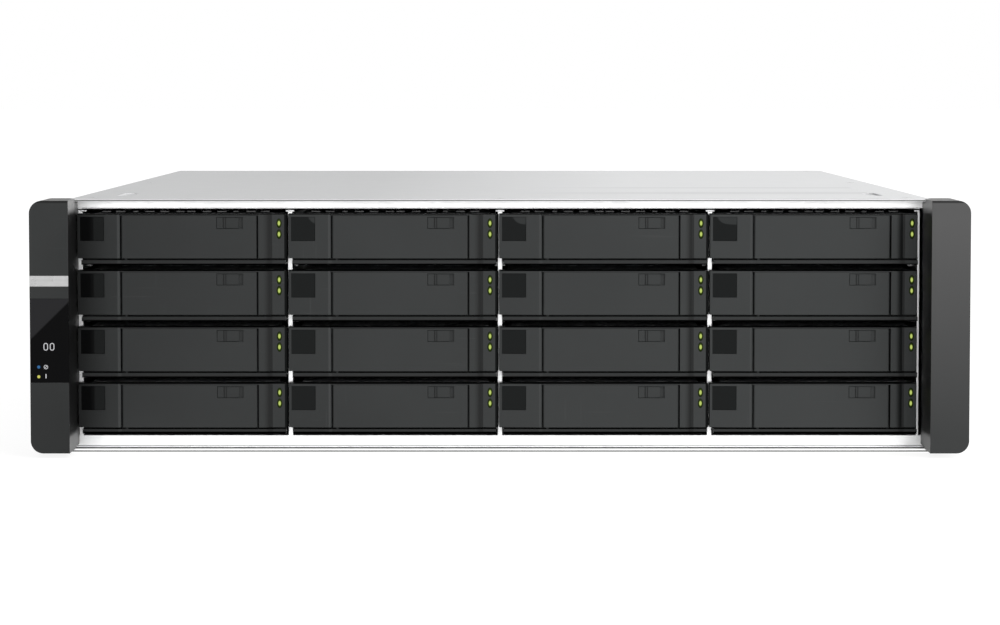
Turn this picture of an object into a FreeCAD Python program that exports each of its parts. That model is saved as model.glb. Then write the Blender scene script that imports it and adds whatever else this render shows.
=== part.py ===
"""A 3U rack storage server with sixteen front drive bays, made as separate pieces.

Units are millimetres. X runs across the front, to the right as seen from there, Y runs from the front
to the back and Z is up. The origin is under the middle of the whole box, in the plane of the underside.
A tray and what it carries are drawn once in a frame of their own: x from the left edge of the bay,
y back from the tray's face and z down from the tray's top. They are then copied into every bay.
"""

import FreeCAD
import Part
import math
import os

# Hard disks and how many there are
drive_width = 101.6
drive_length = 147.0
drive_height = 26.1
drive_lid_inset = 1.6
drive_lid_height = 5.0
columns = 4
rows = 4

# Drive tray
drive_side_gap = 0.15
drive_end_gap = 0.2
drive_nose_gap = 2.0
sled_wall = 1.35
sled_wall_top = 4.0
sled_lead_in = 9.0
slide_clearance = 0.35
bezel_left = -0.35
bezel_right = 107.5
bezel_seat_gap = 0.4
face_height = 23.2
groove_height = 1.0
strip_setback = 0.6
strip_left = 1.7
strip_right = 108.0
lip_thickness = 0.8
left_wing_width = 22.25
left_wing_slope = 1.4
wing_edge = 0.7
right_wing_width = 13.5
right_wing_flat = 2.8
right_wing_step = 1.2
right_wing_step_run = 3.2
inset_size = 12.6
inset_left = 1.35
inset_top = 1.6
inset_depth = 0.6
vent_margin = 5.0

# Light pipes in the right wing
pipe_width = 1.6
pipe_height = 3.4
pipe_recess = 0.3
pipe_from_edge = 2.7
pipe_drop = 4.9
pipe_pitch = 5.7

# Lever and its hinge pin
lever_thickness = 5.5
lever_hinge_seam = 0.7
lever_tip_seam = 0.8
lever_back_clearance = 1.0
lever_end_gap = 0.15
lever_skin = 2.2
lever_rim = 1.6
lever_corner = 0.5
knuckle_radius = 2.2
knuckle_length = 4.4
pin_radius = 1.0
pin_clearance = 0.05

# Slide latch in the lever
latch_width = 11.3
latch_height = 5.65
latch_gap = 0.25
latch_travel = 2.0
latch_from_tip = 7.2
latch_drop = 0.7
latch_recess = 1.3
latch_button = 1.2
latch_bar_width = 3.0
latch_bar_rise = 0.35
latch_stem_width = 5.0
latch_stem_height = 3.0
latch_keeper = 1.0
latch_keeper_overhang = 1.2

# Drive cage
divider_thickness = 2.3
divider_flange_width = 4.7
divider_flange = 1.0
divider_flange_height = 0.7
divider_flange_drop = 0.5
left_cage_wall = 2.3
right_cage_wall = 1.1
rail_width = 2.85
rail_setback = 26.0
rail_thickness = 1.0
rail_foot = 0.5
rail_clearance = 0.3
rail_tail = 12.0
row_gap = 3.0
top_gap = 2.7
cage_sheet = 1.1
lower_band_height = 6.2
upper_band_height = 3.6
cage_side_gap = 0.2

# Body of folded sheet
sheet = 1.2
hem_height = 2.4
side_margin = 4.0
cover_seam = 0.3
body_depth = 622.0
face_setback = 2.0
cage_setback = 13.0
bead_length = 47.0
bead_width = 7.0
bead_depth = 0.8
bead_corner = 2.4
bead_from_side = 22.0
bead_setbacks = (57.0, 166.0)

# Rack flanges and ear covers
flange_reach = 17.3
flange_sheet = 2.0
slot_from_edge = 8.75
slot_spacing = 57.15
slot_length = 10.3
slot_width = 7.0
ear_ahead = 28.0
ear_wrap = 15.0
ear_inset = 2.7
ear_bottom = 2.0
ear_wall = 2.2
ear_corner = 6.5
ear_tongue_gap = 0.5
window_bottom = 38.5
window_height = 43.3
window_thickness = 1.6
window_setback = 0.2
badge_bottom = 87.9
badge_height = 5.7
badge_depth = 0.4

# Circuit boards
connector_gap = 0.4
connector_depth = 6.0
connector_width = 44.0
connector_height = 6.0
board = 1.6
backplane_margin = 4.0
backplane_slot_height = 8.0
backplane_slot_inset = 12.0
mainboard_width = 305.0
mainboard_length = 244.0
mainboard_wall_gap = 1.0
standoff_height = 6.5
standoff_across = 5.0
standoff_inset = 8.0
sink_size = 72.0
sink_base = 5.0
sink_height = 38.0
sink_fins = 9
sink_fin = 2.0
jack_count = 4
jack_pitch = 15.6
jack_opening = 11.9
jack_open_height = 9.0
jack_height = 13.4
jack_length = 21.0
jack_depth = 13.0
jack_wall = 1.9
usb_width = 17.0
usb_height = 17.0
usb_open_width = 13.2
usb_open_height = 5.4
usb_gap = 20.0
port_clearance = 0.3
port_plate_margin = 12.0

# Power supplies
psu_width = 73.5
psu_height = 40.0
psu_length = 185.0
psu_clearance = 0.3
psu_bay_tail = 8.0
inlet_width = 24.2
inlet_height = 16.7
inlet_depth = 17.0
inlet_corner = 4.5
inlet_from_side = 9.0
inlet_frame = 2.4
inlet_frame_proud = 1.0
handle_width = 30.0
handle_reach = 24.0
handle_bar = 4.0
handle_height = 11.0
handle_from_side = 6.0
leaf_width = 7.0
leaf_reach = 10.0
leaf_thickness = 1.4
leaf_hook = 3.0
psu_vent_count = 6
psu_vent_width = 4.0
psu_vent_height = 16.0
psu_vent_pitch = 6.0
psu_vent_depth = 3.0

# Rear fans
fan_size = 80.0
fan_depth = 25.0
fan_pitch = 84.0
fan_from_bay = 6.0
fan_from_top = 4.0
fan_bore = 38.4
fan_corner = 4.0
fan_blades = 7
hub_sides_per_blade = 3
bore_sides_per_blade = 4
motor_half = 15.0
fan_blade_thickness = 1.6
fan_blade_pitch_angle = 38.0
fan_tip_gap = 1.0
hub_radius = 17.0
hub_length = 18.0
hub_gap = 0.3
motor_base = 3.0
strut_width = 5.0
shaft_radius = 2.0
shaft_length = 12.0
shaft_clearance = 0.05
louver_count = 6
louver_bar = 4.6

# Air slots in the rear wall
air_slot_count = 8
air_slot_width = 9.0
air_slot_pitch = 20.0
air_slot_margin = 18.0
air_slot_bottom = 44.0

# Sizes that follow from the ones above
bay_pitch_x = drive_width + 2 * (drive_side_gap + sled_wall + slide_clearance) + divider_flange_width
tray_height = drive_height + 2 * drive_end_gap
bay_pitch_z = tray_height + row_gap
body_width = columns * bay_pitch_x + 2 * side_margin
body_half = body_width / 2
inner_half = body_half - sheet
cage_half = inner_half - cage_side_gap
panel_half = body_half + flange_reach
cage_floor = sheet + lower_band_height
bottom_tray_z = cage_floor + rail_foot + rail_thickness + rail_clearance
top_tray_z = bottom_tray_z + tray_height + (rows - 1) * bay_pitch_z
cage_roof = top_tray_z + top_gap
cover_under = cage_roof + upper_band_height + cover_seam
body_height = cover_under + sheet

overall_length = ear_ahead + body_depth + handle_reach
y_ear = -overall_length / 2
y_body = y_ear + ear_ahead
y_face = y_body + face_setback
y_cage = y_body + cage_setback
y_flange = y_body + ear_wrap
y_back = y_body + body_depth
y_back_inner = y_back - sheet

bezel_depth = cage_setback - face_setback - bezel_seat_gap
lever_pocket = lever_thickness + lever_back_clearance
wing_end = bezel_left + left_wing_width
right_wing_start = bezel_right - right_wing_width
lever_start = wing_end + lever_hinge_seam
lever_tip = right_wing_start - lever_tip_seam
hinge_x = lever_start + knuckle_radius
hinge_y = knuckle_radius
lever_top = -lip_thickness - lever_end_gap
strip_top = -face_height - groove_height
sled_left = divider_flange_width / 2 + slide_clearance
drive_left = sled_left + sled_wall + drive_side_gap
drive_front = bezel_depth + drive_nose_gap
drive_back = drive_front + drive_length
y_backplane = y_face + drive_back + connector_gap + connector_depth

latch_right = lever_tip - latch_from_tip - latch_travel - latch_gap
latch_left = latch_right - latch_width
latch_top = lever_top - latch_drop - latch_gap
latch_bottom = latch_top - latch_height

psu_left = inner_half - psu_clearance - psu_width
psu_partition = psu_left - psu_clearance - sheet
psu_bottoms = (sheet + psu_clearance, 2 * sheet + 3 * psu_clearance + psu_height)
psu_roof = psu_bottoms[1] + psu_height + psu_clearance

fan_z = cover_under - fan_from_top - fan_size / 2
fan_right_x = psu_partition - fan_from_bay - fan_size / 2
fan_centres = (fan_right_x - fan_pitch, fan_right_x)
board_z = sheet + standoff_height
port_z = board_z + board
mainboard_right = psu_partition - port_clearance
mainboard_left = mainboard_right - mainboard_width
mainboard_back = y_back_inner - mainboard_wall_gap
jack_left = fan_right_x - jack_count * jack_pitch / 2
usb_left = jack_left - usb_gap - usb_width


def block(x_range, y_range, z_range):
    """A box between two limits along each axis."""
    size = [high - low for low, high in (x_range, y_range, z_range)]
    return Part.makeBox(*size, FreeCAD.Vector(x_range[0], y_range[0], z_range[0]))


def round_bar(radius, length, start, direction):
    """A cylinder from a point along a direction."""
    return Part.makeCylinder(radius, length, FreeCAD.Vector(*start), FreeCAD.Vector(*direction))


def prism(points, along):
    """A flat closed outline pushed along a vector."""
    corners = [FreeCAD.Vector(*point) for point in points]
    outline = Part.makePolygon(corners + corners[:1])
    return Part.Face(outline).extrude(FreeCAD.Vector(*along))


def arc(start, middle, end):
    """An arc through three points."""
    return Part.Arc(*[FreeCAD.Vector(*point) for point in (start, middle, end)]).toShape()


def line(start, end):
    """A straight edge between two points."""
    return Part.makeLine(FreeCAD.Vector(*start), FreeCAD.Vector(*end))


def plan_solid(edges, z_low, z_high):
    """Edges of a closed outline drawn in the plane z = 0, raised between two heights."""
    face = Part.Face(Part.Wire(edges))
    face.translate(FreeCAD.Vector(0, 0, z_low))
    return face.extrude(FreeCAD.Vector(0, 0, z_high - z_low))


def fused(shapes):
    """One solid from shapes that touch or overlap."""
    return shapes[0].multiFuse(shapes[1:]).removeSplitter()


def group(shapes):
    """A node of separate solids that belong together."""
    return Part.makeCompound([solid for shape in shapes for solid in shape.Solids])


def moved(shape, x=0.0, y=0.0, z=0.0):
    """A copy of a shape at another place."""
    return shape.translated(FreeCAD.Vector(x, y, z))


def mirrored(shape):
    """The same shape on the other side of the middle plane."""
    return shape.mirror(FreeCAD.Vector(0, 0, 0), FreeCAD.Vector(1, 0, 0))


def slot_cutter(x, z, length, width, y_range):
    """A slot with round ends along X, cut along Y."""
    radius = width / 2
    half = length / 2 - radius
    depth = y_range[1] - y_range[0]
    ends = [round_bar(radius, depth, (x + side * half, y_range[0], z), (0, 1, 0)) for side in (-1, 1)]
    middle = block((x - half, x + half), y_range, (z - radius, z + radius))
    return fused([middle] + ends)


def corner_edges(shape, direction, where):
    """The straight edges of a shape that run along a direction and pass a test on their middle."""
    chosen = []
    for edge in shape.Edges:
        if not isinstance(edge.Curve, Part.Line):
            continue
        along = edge.tangentAt(edge.FirstParameter)
        if abs(abs(along.dot(FreeCAD.Vector(*direction))) - 1) < 1e-6 and where(edge.CenterOfMass):
            chosen.append(edge)
    return chosen


def left_wing():
    """The wing on the hinge side: its face leans back to the left and ends in a broken edge."""
    outline = [
        (bezel_left, left_wing_slope, -face_height),
        (wing_end - wing_edge, 0, -face_height),
        (wing_end, wing_edge, -face_height),
        (wing_end, lever_pocket, -face_height),
        (bezel_left, lever_pocket, -face_height),
    ]
    return prism(outline, (0, 0, face_height)).cut(inset_pocket())


def wing_face_y(x):
    """How far back the left wing's face lies at a place across it."""
    run = wing_end - wing_edge - bezel_left
    return left_wing_slope * (1 - (x - bezel_left) / run)


def inset_pocket():
    """The shallow square pocket in the left wing, parallel to its face."""
    left = bezel_left + inset_left
    right = left + inset_size
    bottom = -inset_top - inset_size
    outline = [
        (left, -inset_depth, bottom),
        (right, -inset_depth, bottom),
        (right, wing_face_y(right) + inset_depth, bottom),
        (left, wing_face_y(left) + inset_depth, bottom),
    ]
    return prism(outline, (0, 0, inset_size))


def right_wing():
    """The wing at the lever's tip: a flat strip, then a curved step back to the flat with the lamps."""
    curve_start = (right_wing_start + right_wing_flat, 0, 0)
    curve_end = (right_wing_start + right_wing_flat + right_wing_step_run, right_wing_step, 0)
    turn = 2 * math.atan2(right_wing_step, right_wing_step_run)
    radius = right_wing_step_run / math.sin(turn)
    middle = (
        curve_start[0] + radius * math.sin(turn / 2),
        radius * (1 - math.cos(turn / 2)),
        0,
    )
    edges = [
        line((right_wing_start, 0, 0), curve_start),
        arc(curve_start, middle, curve_end),
        line(curve_end, (bezel_right, right_wing_step, 0)),
        line((bezel_right, right_wing_step, 0), (bezel_right, lever_pocket, 0)),
        line((bezel_right, lever_pocket, 0), (right_wing_start, lever_pocket, 0)),
        line((right_wing_start, lever_pocket, 0), (right_wing_start, 0, 0)),
    ]
    return plan_solid(edges, -face_height, 0)


def light_pipes():
    """The two light pipes of a tray, from just behind the lamp face through the bezel."""
    middle = bezel_right - pipe_from_edge
    x_range = (middle - pipe_width / 2, middle + pipe_width / 2)
    y_range = (right_wing_step + pipe_recess, bezel_depth)
    drops = (pipe_drop, pipe_drop + pipe_pitch)
    return [block(x_range, y_range, (-drop - pipe_height / 2, -drop + pipe_height / 2)) for drop in drops]


def pipe_mouths():
    """The holes for the light pipes, open at the lamp face."""
    return [pipe.fuse(moved(pipe, y=-2 * pipe_recess)) for pipe in light_pipes()]


def lever_vent():
    """The air window in the bezel's back wall behind the lever."""
    x_range = (lever_start + vent_margin, lever_tip - vent_margin)
    y_range = (lever_pocket - vent_margin, bezel_depth + vent_margin)
    return block(x_range, y_range, (-face_height + vent_margin, -vent_margin))


def sled_wall_left():
    """One side wall of the sled, with a slanted lead-in at its rear end."""
    end = drive_back - drive_nose_gap
    outline = [
        (sled_left, bezel_depth, -sled_wall_top),
        (sled_left, end - sled_lead_in, -sled_wall_top),
        (sled_left, end, -sled_wall_top - sled_lead_in),
        (sled_left, end, -tray_height),
        (sled_left, bezel_depth, -tray_height),
    ]
    return prism(outline, (sled_wall, 0, 0))


def half_round(radius, z_low, z_high):
    """The front half of a round bar on the lever's axis."""
    left = (hinge_x - radius, hinge_y, 0)
    right = (hinge_x + radius, hinge_y, 0)
    edges = [arc(left, (hinge_x, hinge_y - radius, 0), right), line(right, left)]
    return plan_solid(edges, z_low, z_high)


def hinge_pin():
    """The lever's upright half-round pin, seated between the strip and the lip."""
    return half_round(pin_radius, strip_top, -lip_thickness)


def hard_disk():
    """A 3.5-inch disk: the casting with its narrower lid."""
    right = drive_left + drive_width
    bottom = -tray_height + drive_end_gap
    lid_under = -drive_end_gap - drive_lid_height
    casting = block((drive_left, right), (drive_front, drive_back), (bottom, lid_under))
    lid = block(
        (drive_left + drive_lid_inset, right - drive_lid_inset),
        (drive_front + drive_lid_inset, drive_back - drive_lid_inset),
        (lid_under, -drive_end_gap),
    )
    return fused([casting, lid])


def tray():
    """A tray with its disk, hinge pin and light pipes, as separate solids."""
    back_wall = block((bezel_left, bezel_right), (lever_pocket, bezel_depth), (-face_height, 0))
    lip = block((wing_end, right_wing_start), (0, lever_pocket), (-lip_thickness, 0))
    low_width = (strip_left, strip_right)
    low_wall = block(low_width, (lever_pocket, bezel_depth), (-tray_height, -face_height))
    strip = block(low_width, (strip_setback, lever_pocket), (-tray_height, strip_top))
    wall = sled_wall_left()
    far_wall = moved(wall, x=bay_pitch_x - 2 * sled_left - sled_wall)
    body = fused([back_wall, low_wall, left_wing(), right_wing(), lip, strip, wall, far_wall])
    body = body.cut([lever_vent()] + pipe_mouths())
    return group([body, hard_disk(), hinge_pin()] + light_pipes())


def lever():
    """The lever: a shallow shell that snaps on the pin at its left end with an open bearing."""
    outline = [
        (lever_start + lever_corner, 0, -face_height),
        (lever_start, lever_corner, -face_height),
        (lever_start, hinge_y + lever_back_clearance, -face_height),
        (hinge_x, lever_thickness, -face_height),
        (lever_tip, lever_thickness, -face_height),
        (lever_tip, lever_corner, -face_height),
        (lever_tip - lever_corner, 0, -face_height),
    ]
    body = prism(outline, (0, 0, lever_top + face_height))
    hollow = block(
        (hinge_x + knuckle_length, lever_tip - lever_rim),
        (lever_skin, lever_thickness + lever_rim),
        (-face_height + lever_rim, lever_top - lever_rim),
    )
    recess = block(
        (latch_left - latch_gap, latch_right + latch_travel + latch_gap),
        (-latch_recess, latch_recess),
        (latch_bottom - latch_gap, latch_top + latch_gap),
    )
    stem_x, stem_z = latch_stem_ranges()
    slot = block(
        (stem_x[0] - latch_gap, stem_x[1] + latch_travel + latch_gap),
        (0, lever_thickness),
        (stem_z[0] - latch_gap, stem_z[1] + latch_gap),
    )
    bore_radius = pin_radius + pin_clearance
    mouth = block(
        (hinge_x - bore_radius, hinge_x + bore_radius),
        (hinge_y, lever_thickness + bore_radius),
        (strip_top, 0),
    )
    bearing = fused([half_round(bore_radius, strip_top, 0), mouth])
    return body.cut([hollow, recess, slot, bearing])


def latch_stem_ranges():
    """Where the latch's stem passes through the lever's skin, across and up."""
    middle_x = (latch_left + latch_right) / 2
    middle_z = (latch_top + latch_bottom) / 2
    x_range = (middle_x - latch_stem_width / 2, middle_x + latch_stem_width / 2)
    z_range = (middle_z - latch_stem_height / 2, middle_z + latch_stem_height / 2)
    return x_range, z_range


def latch():
    """The slide latch: a button with a thumb bar, a stem and a keeper behind the lever's skin."""
    front = latch_recess - latch_button
    stem_x, stem_z = latch_stem_ranges()
    keeper_front = lever_skin + latch_gap
    full = (latch_bottom, latch_top)
    bar = block((latch_left, latch_left + latch_bar_width), (front, latch_recess - latch_gap), full)
    button = block((latch_left, latch_right), (front + latch_bar_rise, latch_recess - latch_gap), full)
    stem = block(stem_x, (front + latch_bar_rise, keeper_front), stem_z)
    keeper = block(
        (stem_x[0] - latch_keeper_overhang, stem_x[1] + latch_keeper_overhang),
        (keeper_front, keeper_front + latch_keeper),
        stem_z,
    )
    return fused([bar, button, stem, keeper])


def tray_tops():
    """Heights of the tray tops, from the top row down."""
    return [top_tray_z - index * bay_pitch_z for index in range(rows)]


def bay_lefts():
    """Left edges of the bays, from left to right."""
    return [(index - columns / 2) * bay_pitch_x for index in range(columns)]


def rails(x_range):
    """The runner tabs on one face of a divider, one under each tray."""
    y_range = (y_cage + rail_setback, y_backplane - rail_tail)
    shapes = []
    for top in tray_tops():
        rail_top = top - tray_height - rail_clearance
        shapes.append(block(x_range, y_range, (rail_top - rail_thickness, rail_top)))
    return shapes


def top_flange(x_range):
    """The short flange at the upper front corner of an upright."""
    z_high = cage_roof - divider_flange_drop
    return block(x_range, (y_cage, y_cage + divider_flange), (z_high - divider_flange_height, z_high))


def divider(x):
    """An upright between two columns of bays, with a short top flange and runner tabs on both faces."""
    half = divider_thickness / 2
    flange_half = divider_flange_width / 2
    plate = block((x - half, x + half), (y_cage, y_backplane), (cage_floor, cage_roof))
    flange = top_flange((x - flange_half, x + flange_half))
    left = rails((x - half - rail_width, x - half))
    right = rails((x + half, x + half + rail_width))
    return fused([plate, flange] + left + right)


def cage_side(thickness):
    """A side wall of the cage as it stands on the left, with the same top flange turned inward."""
    edge = -columns * bay_pitch_x / 2
    inner = edge + divider_thickness / 2
    plate = block((inner - thickness, inner), (y_cage, y_backplane), (cage_floor, cage_roof))
    flange = top_flange((inner - thickness, edge + divider_flange_width / 2 + divider_flange))
    return fused([plate, flange] + rails((inner, inner + rail_width)))


def cage_plate(z_range, band_range, band_starts):
    """A cage plate with a band folded at each given place along the depth."""
    width = (-cage_half, cage_half)
    plate = block(width, (y_cage, y_backplane), z_range)
    bands = [block(width, (start, start + cage_sheet), band_range) for start in band_starts]
    return fused([plate] + bands)


def drive_cage():
    """The welded cage: two plates, three dividers and two side walls."""
    feet = (y_cage, y_backplane - cage_sheet)
    lower = cage_plate((cage_floor - cage_sheet, cage_floor), (sheet, cage_floor), feet)
    upper_band = (cage_roof, cage_roof + upper_band_height)
    upper = cage_plate((cage_roof, cage_roof + cage_sheet), upper_band, feet[:1])
    sides = [cage_side(left_cage_wall), mirrored(cage_side(right_cage_wall))]
    dividers = [divider(left) for left in bay_lefts()[1:]]
    return group([lower, upper] + sides + dividers)


def fan_openings(x):
    """The level slots of one fan's guard in the rear wall, as long as the fan's round allows."""
    pitch = (2 * fan_bore + louver_bar) / louver_count
    half_height = (pitch - louver_bar) / 2
    y_range = (y_back_inner - sheet, y_back + sheet)
    openings = []
    for index in range(louver_count):
        rise = (index + 0.5 - louver_count / 2) * pitch
        half_width = math.sqrt(fan_bore**2 - abs(rise) ** 2)
        z_range = (fan_z + rise - half_height, fan_z + rise + half_height)
        openings.append(block((x - half_width, x + half_width), y_range, z_range))
    return openings


def air_slots():
    """Upright air slots in the rear wall beside the fans."""
    z_range = (air_slot_bottom, cover_under - 2 * fan_from_top)
    y_range = (y_back_inner - sheet, y_back + sheet)
    first = -inner_half + air_slot_margin
    lefts = [first + index * air_slot_pitch for index in range(air_slot_count)]
    return [block((left, left + air_slot_width), y_range, z_range) for left in lefts]


def port_openings():
    """The openings in the rear wall for the network jacks and the USB stack."""
    y_range = (y_back_inner - sheet, y_back + sheet)
    spans = (
        (jack_left, jack_left + jack_count * jack_pitch, jack_height),
        (usb_left, usb_left + usb_width, usb_height),
    )
    openings = []
    for left, right, height in spans:
        x_range = (left - port_clearance, right + port_clearance)
        openings.append(block(x_range, y_range, (port_z - port_clearance, port_z + height + port_clearance)))
    return openings


def psu_bay():
    """The sheet walls of the power supply bay: a partition, a shelf and a roof."""
    y_range = (y_back_inner - psu_length - psu_bay_tail, y_back_inner)
    partition = block((psu_partition, psu_partition + sheet), y_range, (sheet, psu_roof + sheet))
    width = (psu_partition + sheet, inner_half)
    shelf_z = psu_bottoms[0] + psu_height + psu_clearance
    shelf = block(width, y_range, (shelf_z, shelf_z + sheet))
    roof = block(width, y_range, (psu_roof, psu_roof + sheet))
    return [partition, shelf, roof]


def psu_openings():
    """The openings in the rear wall through which the power supplies slide."""
    x_range = (psu_left - psu_clearance, inner_half)
    y_range = (y_back_inner - sheet, y_back + sheet)
    return [
        block(x_range, y_range, (bottom - psu_clearance, bottom + psu_height + psu_clearance))
        for bottom in psu_bottoms
    ]


def rack_flange():
    """The left rack flange, bent out from the side wall, with its two slots."""
    y_range = (y_flange, y_flange + flange_sheet)
    plate = block((-panel_half, -body_half), y_range, (ear_bottom, cover_under))
    middle = (ear_bottom + body_height) / 2
    x = -panel_half + slot_from_edge
    slots = [
        slot_cutter(x, middle + side * slot_spacing / 2, slot_length, slot_width, y_range)
        for side in (-1, 1)
    ]
    return plate.cut(slots)


def port_plate_block():
    """The room for the port plate, low in the rear wall round the network jacks and the USB stack."""
    x_range = (usb_left - port_plate_margin, jack_left + jack_count * jack_pitch + port_plate_margin)
    return block(x_range, (y_back_inner, y_back), (sheet, port_z + usb_height + port_plate_margin))


def rear_panel():
    """The rear wall between the sides, with the fan guards and air slots and room for supplies and ports."""
    panel = block((-inner_half, inner_half), (y_back_inner, y_back), (sheet, cover_under))
    guards = [opening for x in fan_centres for opening in fan_openings(x)]
    return panel.cut(guards + air_slots() + psu_openings() + [port_plate_block()])


def chassis_base():
    """The base: a folded floor with hem, sides, rack flanges and supply bay, the rear wall, the port plate."""
    width = (-body_half, body_half)
    depth = (y_body, y_back)
    floor = block(width, depth, (0, sheet))
    hem = block(width, (y_body, y_body + sheet), (0, hem_height))
    side = block((-body_half, -inner_half), depth, (0, cover_under))
    flange = rack_flange()
    folded = fused([floor, hem, side, mirrored(side), flange, mirrored(flange)] + psu_bay())
    port_plate = port_plate_block().cut(port_openings())
    return group([folded, rear_panel(), port_plate])


def bead(x, y, z_range, grow):
    """A long sunk bead of the cover with cut corners, lying along Y."""
    half = bead_width / 2 + grow
    corner = bead_corner + grow / 2
    front = y - grow
    back = y + bead_length + grow
    outline = [
        (x - half, front + corner, z_range[0]),
        (x - half + corner, front, z_range[0]),
        (x + half - corner, front, z_range[0]),
        (x + half, front + corner, z_range[0]),
        (x + half, back - corner, z_range[0]),
        (x + half - corner, back, z_range[0]),
        (x - half + corner, back, z_range[0]),
        (x - half, back - corner, z_range[0]),
    ]
    return prism(outline, (0, 0, z_range[1] - z_range[0]))


def top_cover():
    """The cover sheet with its sunk beads, which stand out as ridges underneath."""
    plate = block((-body_half, body_half), (y_body, y_back), (cover_under, body_height))
    places = [
        (side * (body_half - bead_from_side), y_body + setback)
        for side in (-1, 1)
        for setback in bead_setbacks
    ]
    ridges = [bead(x, y, (cover_under - bead_depth, cover_under), sheet) for x, y in places]
    sinks = [bead(x, y, (body_height - bead_depth, body_height), 0) for x, y in places]
    return fused([plate] + ridges).cut(sinks)


def ear_outline(grow):
    """The left ear cover's front outline with round outer corners, drawn inside by a wall."""
    left = -panel_half + grow
    right = -body_half + ear_inset - grow
    low = ear_bottom + grow
    high = body_height - grow
    radius = ear_corner - grow
    off = radius * (1 - math.sqrt(0.5))
    edges = [
        line((left + radius, 0, low), (right, 0, low)),
        line((right, 0, low), (right, 0, high)),
        line((right, 0, high), (left + radius, 0, high)),
        arc((left + radius, 0, high), (left + off, 0, high - off), (left, 0, high - radius)),
        line((left, 0, high - radius), (left, 0, low + radius)),
        arc((left, 0, low + radius), (left + off, 0, low + off), (left + radius, 0, low)),
    ]
    return Part.Face(Part.Wire(edges))


def ear_cover():
    """The left ear cover: a hollow cap over the rack flange, with a tongue inside the body's front edge."""
    outer = ear_outline(0).extrude(FreeCAD.Vector(0, ear_ahead + ear_wrap, 0))
    outer.translate(FreeCAD.Vector(0, y_ear, 0))
    inner = ear_outline(ear_wall).extrude(FreeCAD.Vector(0, ear_ahead + ear_wrap, 0))
    inner.translate(FreeCAD.Vector(0, y_ear + ear_wall + window_thickness, 0))
    step = block(
        (-body_half, -body_half + 2 * ear_inset),
        (y_body, y_flange + ear_wrap),
        (0, body_height + ear_wall),
    )
    tongue = block(
        (-cage_half, -body_half + ear_inset),
        (y_body - ear_wall, y_cage - cage_side_gap),
        (hem_height + ear_tongue_gap, cover_under - ear_tongue_gap),
    )
    return fused([outer.cut([inner, step]), tongue])


def ear_front_block(y_range, bottom, height):
    """A block over the full width of the left ear's front, for the window, its seat and the badge's seat."""
    x_range = (-panel_half, -body_half + ear_inset)
    return block(x_range, (y_ear + y_range[0], y_ear + y_range[1]), (bottom, bottom + height))


def backplane():
    """The board behind the drives, with air slots between the connectors and sixteen connectors."""
    x_range = (-cage_half, cage_half)
    z_range = (cage_floor - cage_sheet, cage_roof + cage_sheet)
    plate = block(x_range, (y_backplane, y_backplane + board), z_range)
    slots = []
    connectors = []
    slot_drop = backplane_margin + backplane_slot_height
    slot_x = (-cage_half + backplane_slot_inset, cage_half - backplane_slot_inset)
    middle_drop = tray_height - connector_height
    for top in tray_tops():
        slot_z = (top - slot_drop, top - backplane_margin)
        slots.append(block(slot_x, (y_backplane - board, y_backplane + 2 * board), slot_z))
        connector_z = (top - middle_drop - connector_height / 2, top - middle_drop + connector_height / 2)
        connector_y = (y_backplane - connector_depth, y_backplane)
        for left in bay_lefts():
            centre = left + bay_pitch_x / 2
            connector_x = (centre - connector_width / 2, centre + connector_width / 2)
            connectors.append(block(connector_x, connector_y, connector_z))
    return [plate.cut(slots)] + connectors


def standoff(x, y):
    """A six-sided stand-off between the floor and the mainboard."""
    radius = standoff_across / math.sqrt(3)
    corners = []
    for index in range(6):
        angle = math.radians(60 * index)
        corners.append((x + radius * math.cos(angle), y + radius * math.sin(angle), sheet))
    return prism(corners, (0, 0, standoff_height))


def heat_sink():
    """The processor's finned heat sink."""
    x = (mainboard_left + mainboard_right) / 2
    y = mainboard_back - mainboard_length / 2
    half = sink_size / 2
    base = block((x - half, x + half), (y - half, y + half), (port_z, port_z + sink_base))
    pitch = (sink_size - sink_fin) / (sink_fins - 1)
    fins = [
        block(
            (x - half + index * pitch, x - half + index * pitch + sink_fin),
            (y - half, y + half),
            (port_z + sink_base, port_z + sink_height),
        )
        for index in range(sink_fins)
    ]
    return fused([base] + fins)


def network_jacks():
    """A row of network jacks in one block, open at the rear."""
    width = jack_count * jack_pitch
    body = block((jack_left, jack_left + width), (y_back - jack_length, y_back), (port_z, port_z + jack_height))
    holes = []
    for index in range(jack_count):
        left = jack_left + index * jack_pitch + (jack_pitch - jack_opening) / 2
        z_low = port_z + jack_wall
        y_range = (y_back - jack_depth, y_back + jack_wall)
        holes.append(block((left, left + jack_opening), y_range, (z_low, z_low + jack_open_height)))
    return body.cut(holes)


def usb_stack():
    """Two USB sockets one above the other, open at the rear."""
    body = block((usb_left, usb_left + usb_width), (y_back - jack_length, y_back), (port_z, port_z + usb_height))
    left = usb_left + (usb_width - usb_open_width) / 2
    gap = (usb_height - 2 * usb_open_height) / 3
    holes = []
    for index in range(2):
        z_low = port_z + gap + index * (usb_open_height + gap)
        y_range = (y_back - jack_depth, y_back + jack_wall)
        holes.append(block((left, left + usb_open_width), y_range, (z_low, z_low + usb_open_height)))
    return body.cut(holes)


def circuit_boards():
    """The backplane and the mainboard with what is soldered or screwed to them."""
    x_range = (mainboard_left, mainboard_right)
    y_range = (mainboard_back - mainboard_length, mainboard_back)
    plate = block(x_range, y_range, (board_z, port_z))
    legs = [
        standoff(x, y)
        for x in (x_range[0] + standoff_inset, x_range[1] - standoff_inset)
        for y in (y_range[0] + standoff_inset, y_range[1] - standoff_inset)
    ]
    return group(backplane() + [plate, heat_sink(), network_jacks(), usb_stack()] + legs)


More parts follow.
